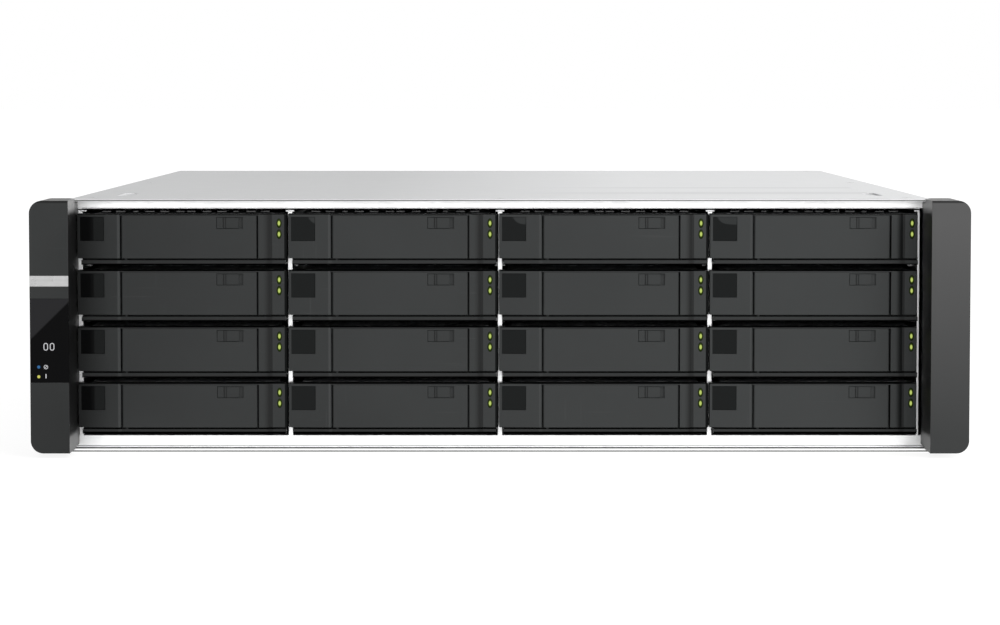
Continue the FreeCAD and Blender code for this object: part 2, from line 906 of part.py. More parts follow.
def inlet_cavity(x, z, grow, y_range):
    """The mains inlet's outline, a rectangle with two cut lower corners, pushed along Y."""
    half_width = inlet_width / 2 + grow
    half_height = inlet_height / 2 + grow
    outline = [
        (x - half_width, y_range[0], z + half_height),
        (x + half_width, y_range[0], z + half_height),
        (x + half_width, y_range[0], z - half_height + inlet_corner),
        (x + half_width - inlet_corner, y_range[0], z - half_height),
        (x - half_width + inlet_corner, y_range[0], z - half_height),
        (x - half_width, y_range[0], z - half_height + inlet_corner),
    ]
    return prism(outline, (0, y_range[1] - y_range[0], 0))


def power_supply(bottom):
    """A slide-in power supply with its mains inlet, handle and release leaf."""
    right = psu_left + psu_width
    top = bottom + psu_height
    case = block((psu_left, right), (y_back - psu_length, y_back), (bottom, top))
    inlet_x = psu_left + inlet_from_side + inlet_width / 2
    inlet_z = top - inlet_frame - handle_from_side / 2 - inlet_height / 2
    frame = inlet_cavity(inlet_x, inlet_z, inlet_frame, (y_back, y_back + inlet_frame_proud))
    hollow = inlet_cavity(inlet_x, inlet_z, 0, (y_back - inlet_depth, y_back + 2 * inlet_frame_proud))
    vents = []
    vent_middle = psu_left + inlet_from_side + inlet_width / 2
    for index in range(psu_vent_count):
        left = vent_middle + (index - psu_vent_count / 2) * psu_vent_pitch
        z_low = bottom + inlet_frame
        z_high = min(z_low + psu_vent_height, inlet_z - inlet_height / 2 - 2 * inlet_frame)
        x_range = (left, left + psu_vent_width)
        vents.append(block(x_range, (y_back - psu_vent_depth, y_back + sheet), (z_low, z_high)))
    body = fused([case, frame]).cut([hollow] + vents)
    return group([body, psu_handle(right, bottom), release_leaf(right, top)])


def psu_handle(right, bottom):
    """The bent loop handle of a power supply."""
    x_range = (right - handle_from_side - handle_width, right - handle_from_side)
    middle = bottom + psu_height / 2
    z_range = (middle - handle_height / 2, middle + handle_height / 2)
    outer = block(x_range, (y_back, y_back + handle_reach), z_range)
    corners = corner_edges(outer, (0, 0, 1), lambda point: point.y > y_back + handle_reach / 2)
    outer = outer.makeChamfer(handle_bar, corners)
    inner = block(
        (x_range[0] + handle_bar, x_range[1] - handle_bar),
        (y_back - handle_bar, y_back + handle_reach - handle_bar),
        z_range,
    )
    return outer.cut(inner)


def release_leaf(right, top):
    """The thumb leaf that flexes to let a power supply go."""
    x_high = right - handle_from_side
    x_range = (x_high - leaf_width, x_high)
    z_high = top - leaf_thickness
    outline = [
        (x_range[0], y_back, z_high),
        (x_range[0], y_back + leaf_reach, z_high),
        (x_range[0], y_back + leaf_reach, z_high - leaf_hook),
        (x_range[0], y_back + leaf_reach - leaf_thickness, z_high - leaf_hook),
        (x_range[0], y_back + leaf_reach - leaf_thickness, z_high - leaf_thickness),
        (x_range[0], y_back, z_high - leaf_thickness),
    ]
    return prism(outline, (leaf_width, 0, 0))


def drum(inner_radius, sides, length, place):
    """A many-sided drum on a fan's axis, whose flats touch the radius; place is its x and y."""
    radius = inner_radius / math.cos(math.pi / sides)
    corners = []
    for index in range(sides):
        angle = 2 * math.pi * (index + 0.5) / sides
        corners.append((place[0] + radius * math.cos(angle), place[1], fan_z + radius * math.sin(angle)))
    return prism(corners, (0, length, 0))


def fan_frame(x):
    """A fan's frame with its bore, crossed struts, motor base and the rotor's shaft."""
    half = fan_size / 2
    y_range = (y_back_inner - fan_depth, y_back_inner)
    frame = block((x - half, x + half), y_range, (fan_z - half, fan_z + half))
    frame = frame.makeChamfer(fan_corner, corner_edges(frame, (0, 1, 0), lambda point: True))
    frame = frame.cut(drum(fan_bore, fan_blades * bore_sides_per_blade, fan_depth, (x, y_range[0])))
    base_y = (y_range[0], y_range[0] + motor_base)
    shaft = round_bar(shaft_radius, shaft_length, (x, base_y[1], fan_z), (0, 1, 0))
    arms = []
    for half_x, half_z in ((motor_half, motor_half), (half, strut_width / 2), (strut_width / 2, half)):
        arms.append(block((x - half_x, x + half_x), base_y, (fan_z - half_z, fan_z + half_z)))
    return fused([frame, shaft] + arms)


def fan_rotor(x):
    """A fan's rotor: a hub with a blind bore for the shaft and a ring of pitched blades."""
    start = y_back_inner - fan_depth + motor_base + hub_gap
    hub = drum(hub_radius, fan_blades * hub_sides_per_blade, hub_length, (x, start))
    middle = start + hub_length / 2
    tip = fan_bore - fan_tip_gap
    pitch = math.radians(fan_blade_pitch_angle)
    half_chord = hub_length / 2 / math.cos(pitch) - fan_blade_thickness
    blade = block(
        (hub_radius - fan_blade_thickness, tip - fan_blade_thickness),
        (-half_chord, half_chord),
        (-fan_blade_thickness / 2, fan_blade_thickness / 2),
    )
    blade.rotate(FreeCAD.Vector(0, 0, 0), FreeCAD.Vector(1, 0, 0), fan_blade_pitch_angle)
    blade.translate(FreeCAD.Vector(x, middle, fan_z))
    blades = []
    for index in range(fan_blades):
        turn = index * 360 / fan_blades
        blades.append(blade.rotated(FreeCAD.Vector(x, 0, fan_z), FreeCAD.Vector(0, 1, 0), turn))
    bore = round_bar(
        shaft_radius + shaft_clearance,
        shaft_length - hub_gap + shaft_clearance,
        (x, start, fan_z),
        (0, 1, 0),
    )
    return fused([hub] + blades).cut(bore)


def all_parts():
    """Every node's name with its shape."""
    left_cover = ear_cover()
    window = ear_front_block((window_setback, window_thickness), window_bottom, window_height)
    window_seat = ear_front_block((0, window_thickness), window_bottom, window_height)
    badge_seat = ear_front_block((0, badge_depth), badge_bottom, badge_height)
    parts = {
        "chassis_base": chassis_base(),
        "top_cover": top_cover(),
        "drive_cage": drive_cage(),
        "circuit_boards": circuit_boards(),
        "left_ear_cover": left_cover.cut([window_seat, badge_seat]),
        "right_ear_cover": mirrored(left_cover),
        "display_window": window,
        "power_supply_lower": power_supply(psu_bottoms[0]),
        "power_supply_upper": power_supply(psu_bottoms[1]),
        "fan_frames": group([fan_frame(x) for x in fan_centres]),
        "fan_rotor_left": fan_rotor(fan_centres[0]),
        "fan_rotor_right": fan_rotor(fan_centres[1]),
    }
    pieces = {"tray": tray(), "lever": lever(), "latch": latch()}
    for row, top in enumerate(tray_tops(), start=1):
        for column, left in enumerate(bay_lefts(), start=1):
            for name, shape in pieces.items():
                parts[f"{name}_r{row}c{column}"] = moved(shape, left, y_face, top)
    return parts


def main():
    """Write one file for every node."""
    os.makedirs("parts", exist_ok=True)
    for name, shape in all_parts().items():
        shape.exportStep(f"parts/{name}.step")


main()
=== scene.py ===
"""Looks of a rack storage server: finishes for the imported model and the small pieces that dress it.

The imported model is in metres, with X across the front, Y from the front to the back and Z up. Sizes in the
classes below are in millimetres, as on a drawing, and Placement.points turns them into metres. A small piece
is a surface worked out on a grid in its own directions (across, up, out) and then put on its spot.
"""

import logging
import math
from dataclasses import dataclass, field
from enum import Enum
from functools import reduce

import bmesh
import bpy
import numpy as np
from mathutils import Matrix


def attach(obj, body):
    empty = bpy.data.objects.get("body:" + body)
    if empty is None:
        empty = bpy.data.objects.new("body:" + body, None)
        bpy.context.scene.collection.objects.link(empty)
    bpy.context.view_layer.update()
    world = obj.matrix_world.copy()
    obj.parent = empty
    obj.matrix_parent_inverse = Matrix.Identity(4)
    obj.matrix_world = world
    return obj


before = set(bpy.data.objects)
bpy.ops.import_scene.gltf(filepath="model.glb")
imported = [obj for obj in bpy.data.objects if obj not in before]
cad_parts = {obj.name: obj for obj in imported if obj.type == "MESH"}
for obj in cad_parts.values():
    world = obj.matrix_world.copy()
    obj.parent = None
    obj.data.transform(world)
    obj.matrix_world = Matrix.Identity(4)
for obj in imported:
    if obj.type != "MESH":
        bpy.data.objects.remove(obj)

LOG = logging.getLogger("storage_server")
MM = 0.001
Array = np.ndarray
Pair = tuple[float, float]
Point = tuple[float, float, float]
Colour = tuple[float, float, float]
Socket = bpy.types.NodeSocket
Sockets = bpy.types.bpy_prop_collection
Inputs = dict[str | int, object]

# The drive bays' count and pitch (across, up) and the first one's left edge, and the power supplies' pitch.
BAY_ROWS = 4
BAY_COLUMNS = 4
BAY_PITCH: Pair = (110.0, 29.5)
FIRST_LEFT = -220.0
SUPPLY_PITCH = 41.8
# How far a piece that is level with its sheet stands out of it, so that the two skins don't coincide.
FLUSH = 0.02
# Edges that turn by more than this stay sharp.
CREASE = math.radians(32)
# Kinds of sockets of a shader group.
VECTOR = "NodeSocketVector"
NUMBER = "NodeSocketFloat"


def grey(level: float) -> Colour:
    """A colour without hue."""
    return (level, level, level)


def quads(numbers: Array) -> list[list[int]]:
    """The four-sided faces between the rows and columns of a grid of corner numbers."""
    corners = (numbers[:-1, :-1], numbers[:-1, 1:], numbers[1:, 1:], numbers[1:, :-1])
    return np.stack(corners, axis=-1).reshape(-1, 4).tolist()


class Side(Enum):
    """A side of the case, with the directions across, up and out for someone who faces it."""

    FRONT = ((1, 0, 0), (0, 0, 1), (0, -1, 0))
    BACK = ((-1, 0, 0), (0, 0, 1), (0, 1, 0))
    LEFT = ((0, -1, 0), (0, 0, 1), (-1, 0, 0))
    RIGHT = ((0, 1, 0), (0, 0, 1), (1, 0, 0))
    TOP = ((1, 0, 0), (0, 1, 0), (0, 0, 1))


class Slot(Enum):
    """The record's material slots, by name; the small pieces get their finishes directly, not from these."""

    STEEL = "zinc_steel"
    COVER = "cover_steel"
    TRAY = "tray_plastic"
    WINDOW = "window"
    BOARD = "board"
    SUPPLY = "supply_steel"
    EAR = "ear_plastic"
    FAN = "fan_plastic"


@dataclass(frozen=True)
class Placement:
    """A spot on the object with its own directions.

    Attributes:
        origin: The spot, in millimetres.
        axes: The directions across, up and out, as unit vectors.
    """

    origin: Point
    axes: tuple[Point, Point, Point]

    @classmethod
    def on(cls, side: Side, origin: Point) -> "Placement":
        """A spot that faces the way one side of the case does."""
        return cls(origin, side.value)

    def points(self, local: Array) -> Array:
        """Carries points from (across, up, out) in millimetres to the model's frame in metres."""
        return (np.array(self.origin, float) + local @ np.array(self.axes, float)) * MM


@dataclass(frozen=True)
class Surface:
    """A grid of points that makes a closed skin.

    Attributes:
        grid: Points in metres, shape (rows, columns, 3); each row closes on itself.
        looped: True where the last row joins the first; otherwise both end rows are filled.
        reach: How far each point lies from the middle (0) to the rim (1), shape (rows, columns).
    """

    grid: Array
    looped: bool = False
    reach: Array | None = None

    def faces(self) -> list[list[int]]:
        """Corner numbers of every face: row i and column j join to the next row and column.

        Returns:
            The four-sided faces of the grid, then the two end faces where the grid isn't looped.
        """
        rows, columns = self.grid.shape[:2]
        numbers = np.arange(rows * columns).reshape(rows, columns)
        ends = [] if self.looped else [numbers[0, ::-1].tolist(), numbers[-1].tolist()]
        wrapped = np.concatenate([numbers, numbers[:, :1]], axis=1)
        if self.looped:
            wrapped = np.concatenate([wrapped, wrapped[:1]], axis=0)
        return quads(wrapped) + ends


@dataclass(frozen=True)
class Outline:
    """A flat closed outline that can grow and shrink: centres plus a reach along each spoke.

    Attributes:
        centres: Where each spoke starts, shape (columns, 2).
        spokes: The direction of each spoke, shape (columns, 2).
    """

    centres: Array
    spokes: Array

    @classmethod
    def oval(cls, half_width: float, half_height: float, sides: int) -> "Outline":
        """An oval whose reach runs from 0 at the middle to 1 at the rim.

        Args:
            half_width: Half the width.
            half_height: Half the height.
            sides: How many points go round.

        Returns:
            Spokes (half width x cos t, half height x sin t) from one centre, for t once round.
        """
        turn = np.linspace(0, 2 * math.pi, sides, endpoint=False)
        spokes = np.stack([half_width * np.cos(turn), half_height * np.sin(turn)], axis=1)
        return cls(np.zeros((sides, 2)), spokes)

    @classmethod
    def rounded(cls, width: float, height: float, corner: float, steps: int = 4) -> "Outline":
        """A rectangle with round corners, whose reach is the corner's radius.

        Args:
            width: Width at full reach.
            height: Height at full reach.
            corner: The corner's radius, which is the full reach.
            steps: How many points go round each corner.

        Returns:
            Spokes (cos t, sin t) from the four corner centres, a quarter turn of t at each.
        """
        quarter = np.linspace(0, math.pi / 2, steps)
        turn = (np.arange(4)[:, None] * math.pi / 2 + quarter[None]).ravel()
        signs = np.repeat(np.array([[1, 1], [-1, 1], [-1, -1], [1, -1]], float), steps, axis=0)
        centres = signs * np.array([width / 2 - corner, height / 2 - corner])
        return cls(centres, np.stack([np.cos(turn), np.sin(turn)], axis=1))

    def raised(self, profile: list[Pair]) -> Array:
        """Stacks the outline along a profile.

        Args:
            profile: Pairs of (reach, rise), one for each row.

        Returns:
            Points centre(j) + reach(i) x spoke(j), lifted by rise(i), shape (rows, columns, 3).
        """
        reach, rise = np.array(profile, float).T
        flat = self.centres[None] + reach[:, None, None] * self.spokes[None]
        lift = np.broadcast_to(rise[:, None, None], flat.shape[:2] + (1,))
        return np.concatenate([flat, lift], axis=2)


def swept(path: Array, section: Array, closed: bool) -> Array:
    """Carries a section along a flat path.

    Point (i, j) is path(i) + section(j, 0) x side(i), lifted by section(j, 1). The side is the path's own
    direction at i, turned by a quarter turn.

    Args:
        path: Points of the path, shape (rows, 2).
        section: Closed section as (sideways, lift) pairs, shape (columns, 2).
        closed: True where the path comes back to its start.

    Returns:
        Points of shape (rows, columns, 3).
    """
    along = np.roll(path, -1, axis=0) - np.roll(path, 1, axis=0) if closed else np.gradient(path, axis=0)
    along = along / np.linalg.norm(along, axis=1, keepdims=True)
    side = np.stack([-along[:, 1], along[:, 0]], axis=1)
    flat = path[:, None, :] + section[None, :, :1] * side[:, None, :]
    lift = np.broadcast_to(section[None, :, 1:], flat.shape[:2] + (1,))
    return np.concatenate([flat, lift], axis=2)


def plate(place: Placement, size: Pair, corner: float, thickness: float) -> Surface:
    """A flat plate with round corners and a broken front edge.

    Args:
        place: The middle of the plate's back.
        size: Width across and height.
        corner: Corner radius.
        thickness: How far the front stands out.

    Returns:
        The rounded outline raised by a profile that steps in at the front, by a quarter of the thickness and
        by no more than half the corner.
    """
    step = min(0.25 * thickness, 0.5 * corner)
    profile = [(corner, 0), (corner, thickness - step), (corner - step, thickness)]
    return Surface(place.points(Outline.rounded(*size, corner).raised(profile)))


def dome(place: Placement, half_width: float, half_height: float, rise: float, sides: int = 20) -> Surface:
    """A low lens: an oval whose height falls from the middle to the rim as the square of the reach.

    Args:
        place: The middle of the lens's back.
        half_width: Half the width.
        half_height: Half the height.
        rise: How far the middle stands above the rim.
        sides: How many points go round.

    Returns:
        Rings at reach r and height rise x (1.15 - r squared) over a flat back, with the reach kept for the finish.
    """
    reach = np.array([1.0, 1.0, 0.88, 0.74, 0.6, 0.45, 0.3, 0.12])
    lift = rise * (1.15 - reach**2)
    lift[0] = 0.0
    outline = Outline.oval(half_width, half_height, sides)
    grid = outline.raised(list(zip(reach, lift)))
    return Surface(place.points(grid), reach=np.repeat(reach[:, None], sides, axis=1))


def turned(place: Placement, radius: float, around: Array, lift: Array) -> Surface:
    """A skin turned about its spot: at (row, t) the radius x share x (cos t, sin t), lifted row by row.

    Args:
        place: The middle of the seat.
        radius: The full radius.
        around: Share of the radius at each point, shape (rows, columns).
        lift: Height of each row.

    Returns:
        The skin, with the shares kept as its reach for the finish.
    """
    turn = np.linspace(0, 2 * math.pi, around.shape[1], endpoint=False)
    rise = np.broadcast_to(lift[:, None], around.shape)
    grid = np.stack([radius * around * np.cos(turn), radius * around * np.sin(turn), rise], axis=2)
    return Surface(place.points(grid), reach=np.minimum(around, 1.0))


def screw_head(place: Placement, radius: float, height: float, sides: int = 16) -> Surface:
    """A pan head with a cross recess.

    Each row is (radius, rise, lobe). Its radius at t is radius x (1 + lobe x cos 4t). The lobe is 0 on the head
    and grows in the recess, which gives the four arms.

    Args:
        place: The middle of the head's seat.
        radius: Radius of the head.
        height: Height of the head.
        sides: How many points go round.

    Returns:
        The head's skin, with the reach kept for the finish.
    """
    rows = np.array([
        (1.0, 0.0, 0.0),
        (1.0, 0.35, 0.0),
        (0.9, 0.75, 0.0),
        (0.7, 1.0, 0.0),
        (0.42, 1.0, 0.3),
        (0.36, 0.45, 0.34),
        (0.05, 0.4, 0.0),
    ])
    turn = np.linspace(0, 2 * math.pi, sides, endpoint=False)
    around = rows[:, :1] * (1 + rows[:, 2:] * np.cos(4 * turn)[None])
    return turned(place, radius, around, height * rows[:, 1])


def flush_screw(place: Placement, radius: float, sides: int = 24) -> Surface:
    """A countersunk screw level with its sheet; the finish paints its recess and its rim as shade from the reach.

    The reach at (row, t) is the row's radius x (1 - 0.45 x fade x cos 4t). The fade is 1 inside, which draws the
    cross, and 0 at the rim.

    Args:
        place: The middle of the head.
        radius: Radius of the head.
        sides: How many points go round.

    Returns:
        A disc that stands just out of the sheet.
    """
    rows = np.array([1.0, 1.0, 0.9, 0.75, 0.6, 0.45, 0.3, 0.15, 0.03])
    lift = np.full(rows.shape, FLUSH)
    lift[0] = 0.0
    turn = np.linspace(0, 2 * math.pi, sides, endpoint=False)
    grid = Outline.oval(radius, radius, sides).raised(list(zip(rows, lift)))
    fade = np.clip((0.8 - rows) / 0.3, 0, 1)[:, None]
    return Surface(place.points(grid), reach=rows[:, None] * (1 - 0.45 * fade * np.cos(4 * turn)[None]))


def thumb_screw(place: Placement, radius: float, length: float, sides: int = 72) -> Surface:
    """A captive thumb screw: a turned head with a knurled rim.

    Each row is (radius, rise, knurl, lobe). Its radius at t is radius x (1 + 0.03 x knurl x cos 24t + lobe x cos 4t).

    Args:
        place: The middle of the screw's seat.
        radius: Radius of the head.
        length: How far the head stands out.
        sides: How many points go round.

    Returns:
        The screw's skin with a cross recess in its face.
    """
    rows = np.array([
        (0.62, 0.0, 0.0, 0.0),
        (0.62, 0.25, 0.0, 0.0),
        (0.92, 0.27, 0.5, 0.0),
        (1.0, 0.33, 1.0, 0.0),
        (1.0, 0.9, 1.0, 0.0),
        (0.9, 1.0, 0.4, 0.0),
        (0.42, 1.0, 0.0, 0.3),
        (0.36, 0.8, 0.0, 0.34),
        (0.04, 0.78, 0.0, 0.0),
    ])
    turn = np.linspace(0, 2 * math.pi, sides, endpoint=False)[None]
    around = rows[:, :1] * (1 + 0.03 * rows[:, 2:3] * np.cos(24 * turn) + rows[:, 3:] * np.cos(4 * turn))
    return turned(place, radius, around, length * rows[:, 1])


def ribbon(place: Placement, path: Array, width: float, lifts: Pair, closed: bool = False) -> Surface:
    """A rectangular section carried along a path.

    Args:
        place: The spot that the path is drawn round.
        path: Points of the path as (across, up), in millimetres.
        width: Width of the section, half of it on each side of the path.
        lifts: Where the section starts and ends outward.
        closed: True where the path comes back to its start.

    Returns:
        The ribbon's skin.
    """
    half = width / 2
    low, high = lifts
    section = np.array([(-half, low), (half, low), (half, high), (-half, high)])
    return Surface(place.points(swept(path, section, closed)), looped=closed)


def blunt_bar(place: Placement, size: Pair, corner: float, length: float, taper: tuple[Pair, ...]) -> Surface:
    """A bar with rounded edges and a blunt tip.

    Args:
        place: The middle of the bar's root.
        size: Width across and height.
        corner: Radius of its edges.
        length: How far it stands out.
        taper: Pairs of (how far in from the sides, how far before the end), from the root to the tip.

    Returns:
        The rounded outline raised along the bar and drawn in by the taper.
    """
    profile = [(corner, 0), *((corner - inward, length - before) for inward, before in taper)]
    return Surface(place.points(Outline.rounded(*size, corner, 3).raised(profile)))


def build_mesh(name: str, surfaces: list[Surface]) -> bpy.types.Mesh:
    """Puts surfaces into one mesh, with outward normals and crisp edges.

    Args:
        name: The mesh's name.
        surfaces: The skins that make it.

    Returns:
        The mesh, with a point attribute "reach" where a surface has one.
    """
    counts = [surface.grid.shape[0] * surface.grid.shape[1] for surface in surfaces]
    starts = np.concatenate([[0], np.cumsum(counts)[:-1]])
    points = np.concatenate([surface.grid.reshape(-1, 3) for surface in surfaces])
    faces = [
        [int(start) + corner for corner in face]
        for start, surface in zip(starts, surfaces)
        for face in surface.faces()
    ]
    mesh = bpy.data.meshes.new(name)
    mesh.from_pydata(points, [], faces)
    work = bmesh.new()
    work.from_mesh(mesh)
    bmesh.ops.recalc_face_normals(work, faces=work.faces)
    work.to_mesh(mesh)
    work.free()
    mesh.shade_smooth()
    mesh.set_sharp_from_angle(angle=CREASE)
    if any(surface.reach is not None for surface in surfaces):
        filled = [
            np.ones(count) if surface.reach is None else surface.reach.ravel()
            for count, surface in zip(counts, surfaces)
        ]
        attribute = mesh.attributes.new("reach", "FLOAT", "POINT")
        attribute.data.foreach_set("value", np.concatenate(filled).astype(np.float32))
    return mesh


class Graph:
    """A shader node tree with short ways to add nodes and join them."""

    def __init__(self, tree: bpy.types.NodeTree) -> None:
        """Keeps the tree to draw in."""
        self.tree = tree

    def node(self, kind: str, inputs: Inputs | None = None, **settings: object) -> bpy.types.Node:
        """Adds a node.

        Args:
            kind: Blender's name for the node type.
            inputs: Values or sockets for its inputs, by name or number.
            settings: Properties to set on the node.

        Returns:
            The new node.
        """
        node = self.tree.nodes.new(kind)
        for key, value in settings.items():
            setattr(node, key, value)
        for key, value in (inputs or {}).items():
            self.feed(node.inputs[key], value)
        return node

    def feed(self, socket: Socket, value: object) -> None:
        """Joins a socket to another one, or sets its own value."""
        if isinstance(value, Socket):
            self.tree.links.new(value, socket)
        elif isinstance(value, tuple) and socket.type == "RGBA":
            socket.default_value = (*value, 1.0)
        else:
            socket.default_value = value

    def math(self, operation: str, *values: object) -> Socket:
        """One operation on numbers that vary over the surface."""
        return self.node("ShaderNodeMath", dict(enumerate(values)), operation=operation).outputs[0]

    def times(self, *values: object) -> Socket:
        """The product of several numbers."""
        return reduce(lambda first, second: self.math("MULTIPLY", first, second), values)

    def most(self, *values: object) -> Socket:
        """The greatest of several numbers."""
        return reduce(lambda first, second: self.math("MAXIMUM", first, second), values)

    def above(self, value: Socket, edge: float) -> Socket:
        """1 where a place lies above an edge in millimetres, and 0 elsewhere."""
        return self.math("GREATER_THAN", value, edge * MM)

    def below(self, value: Socket, edge: float) -> Socket:
        """1 where a place lies below an edge in millimetres, and 0 elsewhere."""
        return self.math("LESS_THAN", value, edge * MM)

    def between(self, value: Socket, edges: Pair) -> Socket:
        """1 where a place lies between two edges in millimetres, and 0 elsewhere."""
        return self.times(self.above(value, edges[0]), self.below(value, edges[1]))

    def wrap(self, value: Socket, first: float, pitch: float) -> Socket:
        """A place that counts from the first one and starts again at each pitch, both in millimetres."""
        return self.math("FLOORED_MODULO", self.math("SUBTRACT", value, first * MM), pitch * MM)

    def in_bay(self, across: Socket) -> Socket:
        """A place across the case, counted from the left edge of its bay."""
        return self.wrap(across, FIRST_LEFT, BAY_PITCH[0])

    def vector(self, operation: str, *values: object) -> bpy.types.Node:
        """One operation on vectors that vary over the surface."""
        return self.node("ShaderNodeVectorMath", dict(enumerate(values)), operation=operation)

    def split(self, vector: Socket) -> Sockets:
        """The three parts of a vector."""
        return self.node("ShaderNodeSeparateXYZ", {0: vector}).outputs

    def blend(self, factor: object, first: object, second: object) -> Socket:
        """A colour between two others."""
        return self.node("ShaderNodeMix", {0: factor, 6: first, 7: second}, data_type="RGBA").outputs[2]

    def rescale(self, value: object, old: Pair, new: Pair = (0.0, 1.0)) -> Socket:
        """A number carried from one range to another and held inside it."""
        inputs = {"Value": value, "From Min": old[0], "From Max": old[1], "To Min": new[0], "To Max": new[1]}
        return self.node("ShaderNodeMapRange", inputs).outputs[0]

    def spread(self, share: object, ends: Pair) -> Socket:
        """A number between two ends, by a share from 0 to 1."""
        return self.rescale(share, (0.0, 1.0), ends)

    def ramp(self, place: Socket, span: Pair, ends: Pair = (0.0, 1.0)) -> Socket:
        """A number that goes from one end to the other between two places in millimetres."""
        return self.rescale(place, (span[0] * MM, span[1] * MM), ends)

    def darken(self, colour: object, shade: object) -> Socket:
        """A colour led toward black."""
        return self.blend(shade, colour, grey(0.0))

    def noise(self, place: object, scale: float, detail: float) -> Socket:
        """Soft noise over a place."""
        return self.node("ShaderNodeTexNoise", {"Vector": place, "Scale": scale, "Detail": detail}).outputs[0]

    def place(self) -> Socket:
        """The piece's own coordinates."""
        return self.node("ShaderNodeTexCoord").outputs["Object"]

    def stretched(self, place: object, scale: Point) -> Socket:
        """Coordinates scaled differently along each axis."""
        return self.node("ShaderNodeMapping", {"Vector": place, "Scale": scale}).outputs[0]

    def normal(self, kind: str = "Normal") -> Socket:
        """The way that the surface looks."""
        return self.node("ShaderNodeNewGeometry").outputs[kind]

    def reach(self) -> Socket:
        """The reach that a surface keeps at its points."""
        return self.node("ShaderNodeAttribute", attribute_name="reach").outputs["Fac"]

    def bump(self, height: Socket, relief: Pair, normal: Socket | None = None) -> Socket:
        """A normal tilted by a height; the relief is its strength and its depth in millimetres."""
        inputs = {"Height": height, "Strength": relief[0], "Distance": relief[1] * MM}
        if normal is not None:
            inputs["Normal"] = normal
        return self.node("ShaderNodeBump", inputs).outputs[0]

    def effect(self, group: bpy.types.NodeTree, **inputs: object) -> Sockets:
        """The outputs of a shared effect, whose inputs are given by name."""
        return self.node("ShaderNodeGroup", inputs, node_tree=group).outputs


class Effects:
    """Shader groups that several finishes share, each built once."""

    def __init__(self) -> None:
        """Builds every group."""
        self.grain = self.moulded_grain()
        self.sheet = self.rolled_sheet()
        self.marks = self.handling_marks()
        self.inside = self.inside_box()

    @staticmethod
    def start(name: str, inputs: dict[str, str], outputs: tuple[str, ...]) -> tuple[Graph, Sockets, Sockets]:
        """Opens an empty group.

        Args:
            name: The group's name.
            inputs: Socket types by input name.
            outputs: Names of the outputs, which are all numbers.

        Returns:
            The graph to draw in, the input sockets and the output sockets.
        """
        tree = bpy.data.node_groups.new(name, "ShaderNodeTree")
        for way, sockets in (("INPUT", inputs), ("OUTPUT", dict.fromkeys(outputs, NUMBER))):
            for label, kind in sockets.items():
                tree.interface.new_socket(name=label, in_out=way, socket_type=kind)
        graph = Graph(tree)
        return graph, graph.node("NodeGroupInput").outputs, graph.node("NodeGroupOutput").inputs

    def moulded_grain(self) -> bpy.types.NodeTree:
        """The fine eroded grain of a mould, and the slow change of tone over a large moulding."""
        inputs = {"Position": VECTOR, "Grain": NUMBER}
        graph, given, result = self.start("Moulded grain", inputs, ("Height", "Tone"))
        pits = graph.node("ShaderNodeTexVoronoi", {"Vector": given["Position"], "Scale": given["Grain"]})
        fine = graph.noise(given["Position"], 2600.0, 3.0)
        graph.feed(result["Height"], graph.math("MULTIPLY_ADD", pits.outputs["Distance"], 0.6, fine))
        slow = graph.noise(given["Position"], 14.0, 4.0)
        graph.feed(result["Tone"], graph.rescale(slow, (0.32, 0.68)))
        return graph.tree

    def rolled_sheet(self) -> bpy.types.NodeTree:
        """Fine rolling lines along X and the faint crystal patches of a zinc coat."""
        inputs = {"Position": VECTOR, "Patches": NUMBER}
        graph, given, result = self.start("Rolled sheet", inputs, ("Height", "Lines", "Patch"))
        lines = graph.noise(graph.stretched(given["Position"], (12.0, 1500.0, 1500.0)), 1.0, 3.0)
        graph.feed(result["Lines"], graph.rescale(lines, (0.3, 0.7)))
        graph.feed(result["Height"], lines)
        cells = graph.node("ShaderNodeTexVoronoi", {"Vector": given["Position"], "Scale": given["Patches"]})
        graph.feed(result["Patch"], graph.split(cells.outputs["Color"])[0])
        return graph.tree

    def handling_marks(self) -> bpy.types.NodeTree:
        """Thin rubbed scratches in two directions, and dust that settles on faces that look up."""
        graph, given, result = self.start("Handling marks", {"Position": VECTOR}, ("Scratch", "Dust"))
        first = graph.noise(graph.stretched(given["Position"], (18.0, 900.0, 900.0)), 1.0, 1.0)
        second = graph.noise(graph.stretched(given["Position"], (700.0, 700.0, 25.0)), 1.0, 1.0)
        thin = [graph.rescale(line, (0.69, 0.76)) for line in (first, second)]
        patchy = graph.rescale(graph.noise(given["Position"], 22.0, 2.0), (0.5, 0.62))
        graph.feed(result["Scratch"], graph.times(graph.most(*thin), 0.4, patchy))
        facing = graph.split(graph.normal())[2]
        settled = graph.rescale(facing, (0.6, 1.0))
        cloud = graph.rescale(graph.noise(given["Position"], 60.0, 5.0), (0.35, 0.75))
        graph.feed(result["Dust"], graph.times(settled, cloud))
        return graph.tree

    def inside_box(self) -> bpy.types.NodeTree:
        """1 inside a box and 0 outside: the least of the six distances to its sides is above nothing."""
        inputs = {"Position": VECTOR, "Low": VECTOR, "High": VECTOR}
        graph, given, result = self.start("Inside box", inputs, ("Mask",))
        above = graph.vector("SUBTRACT", given["Position"], given["Low"]).outputs[0]
        below = graph.vector("SUBTRACT", given["High"], given["Position"]).outputs[0]
        parts = graph.split(graph.vector("MINIMUM", above, below).outputs[0])
        least = graph.math("MINIMUM", graph.math("MINIMUM", parts[0], parts[1]), parts[2])
        graph.feed(result["Mask"], graph.math("GREATER_THAN", least, 0.0))
        return graph.tree


EFFECTS = Effects()


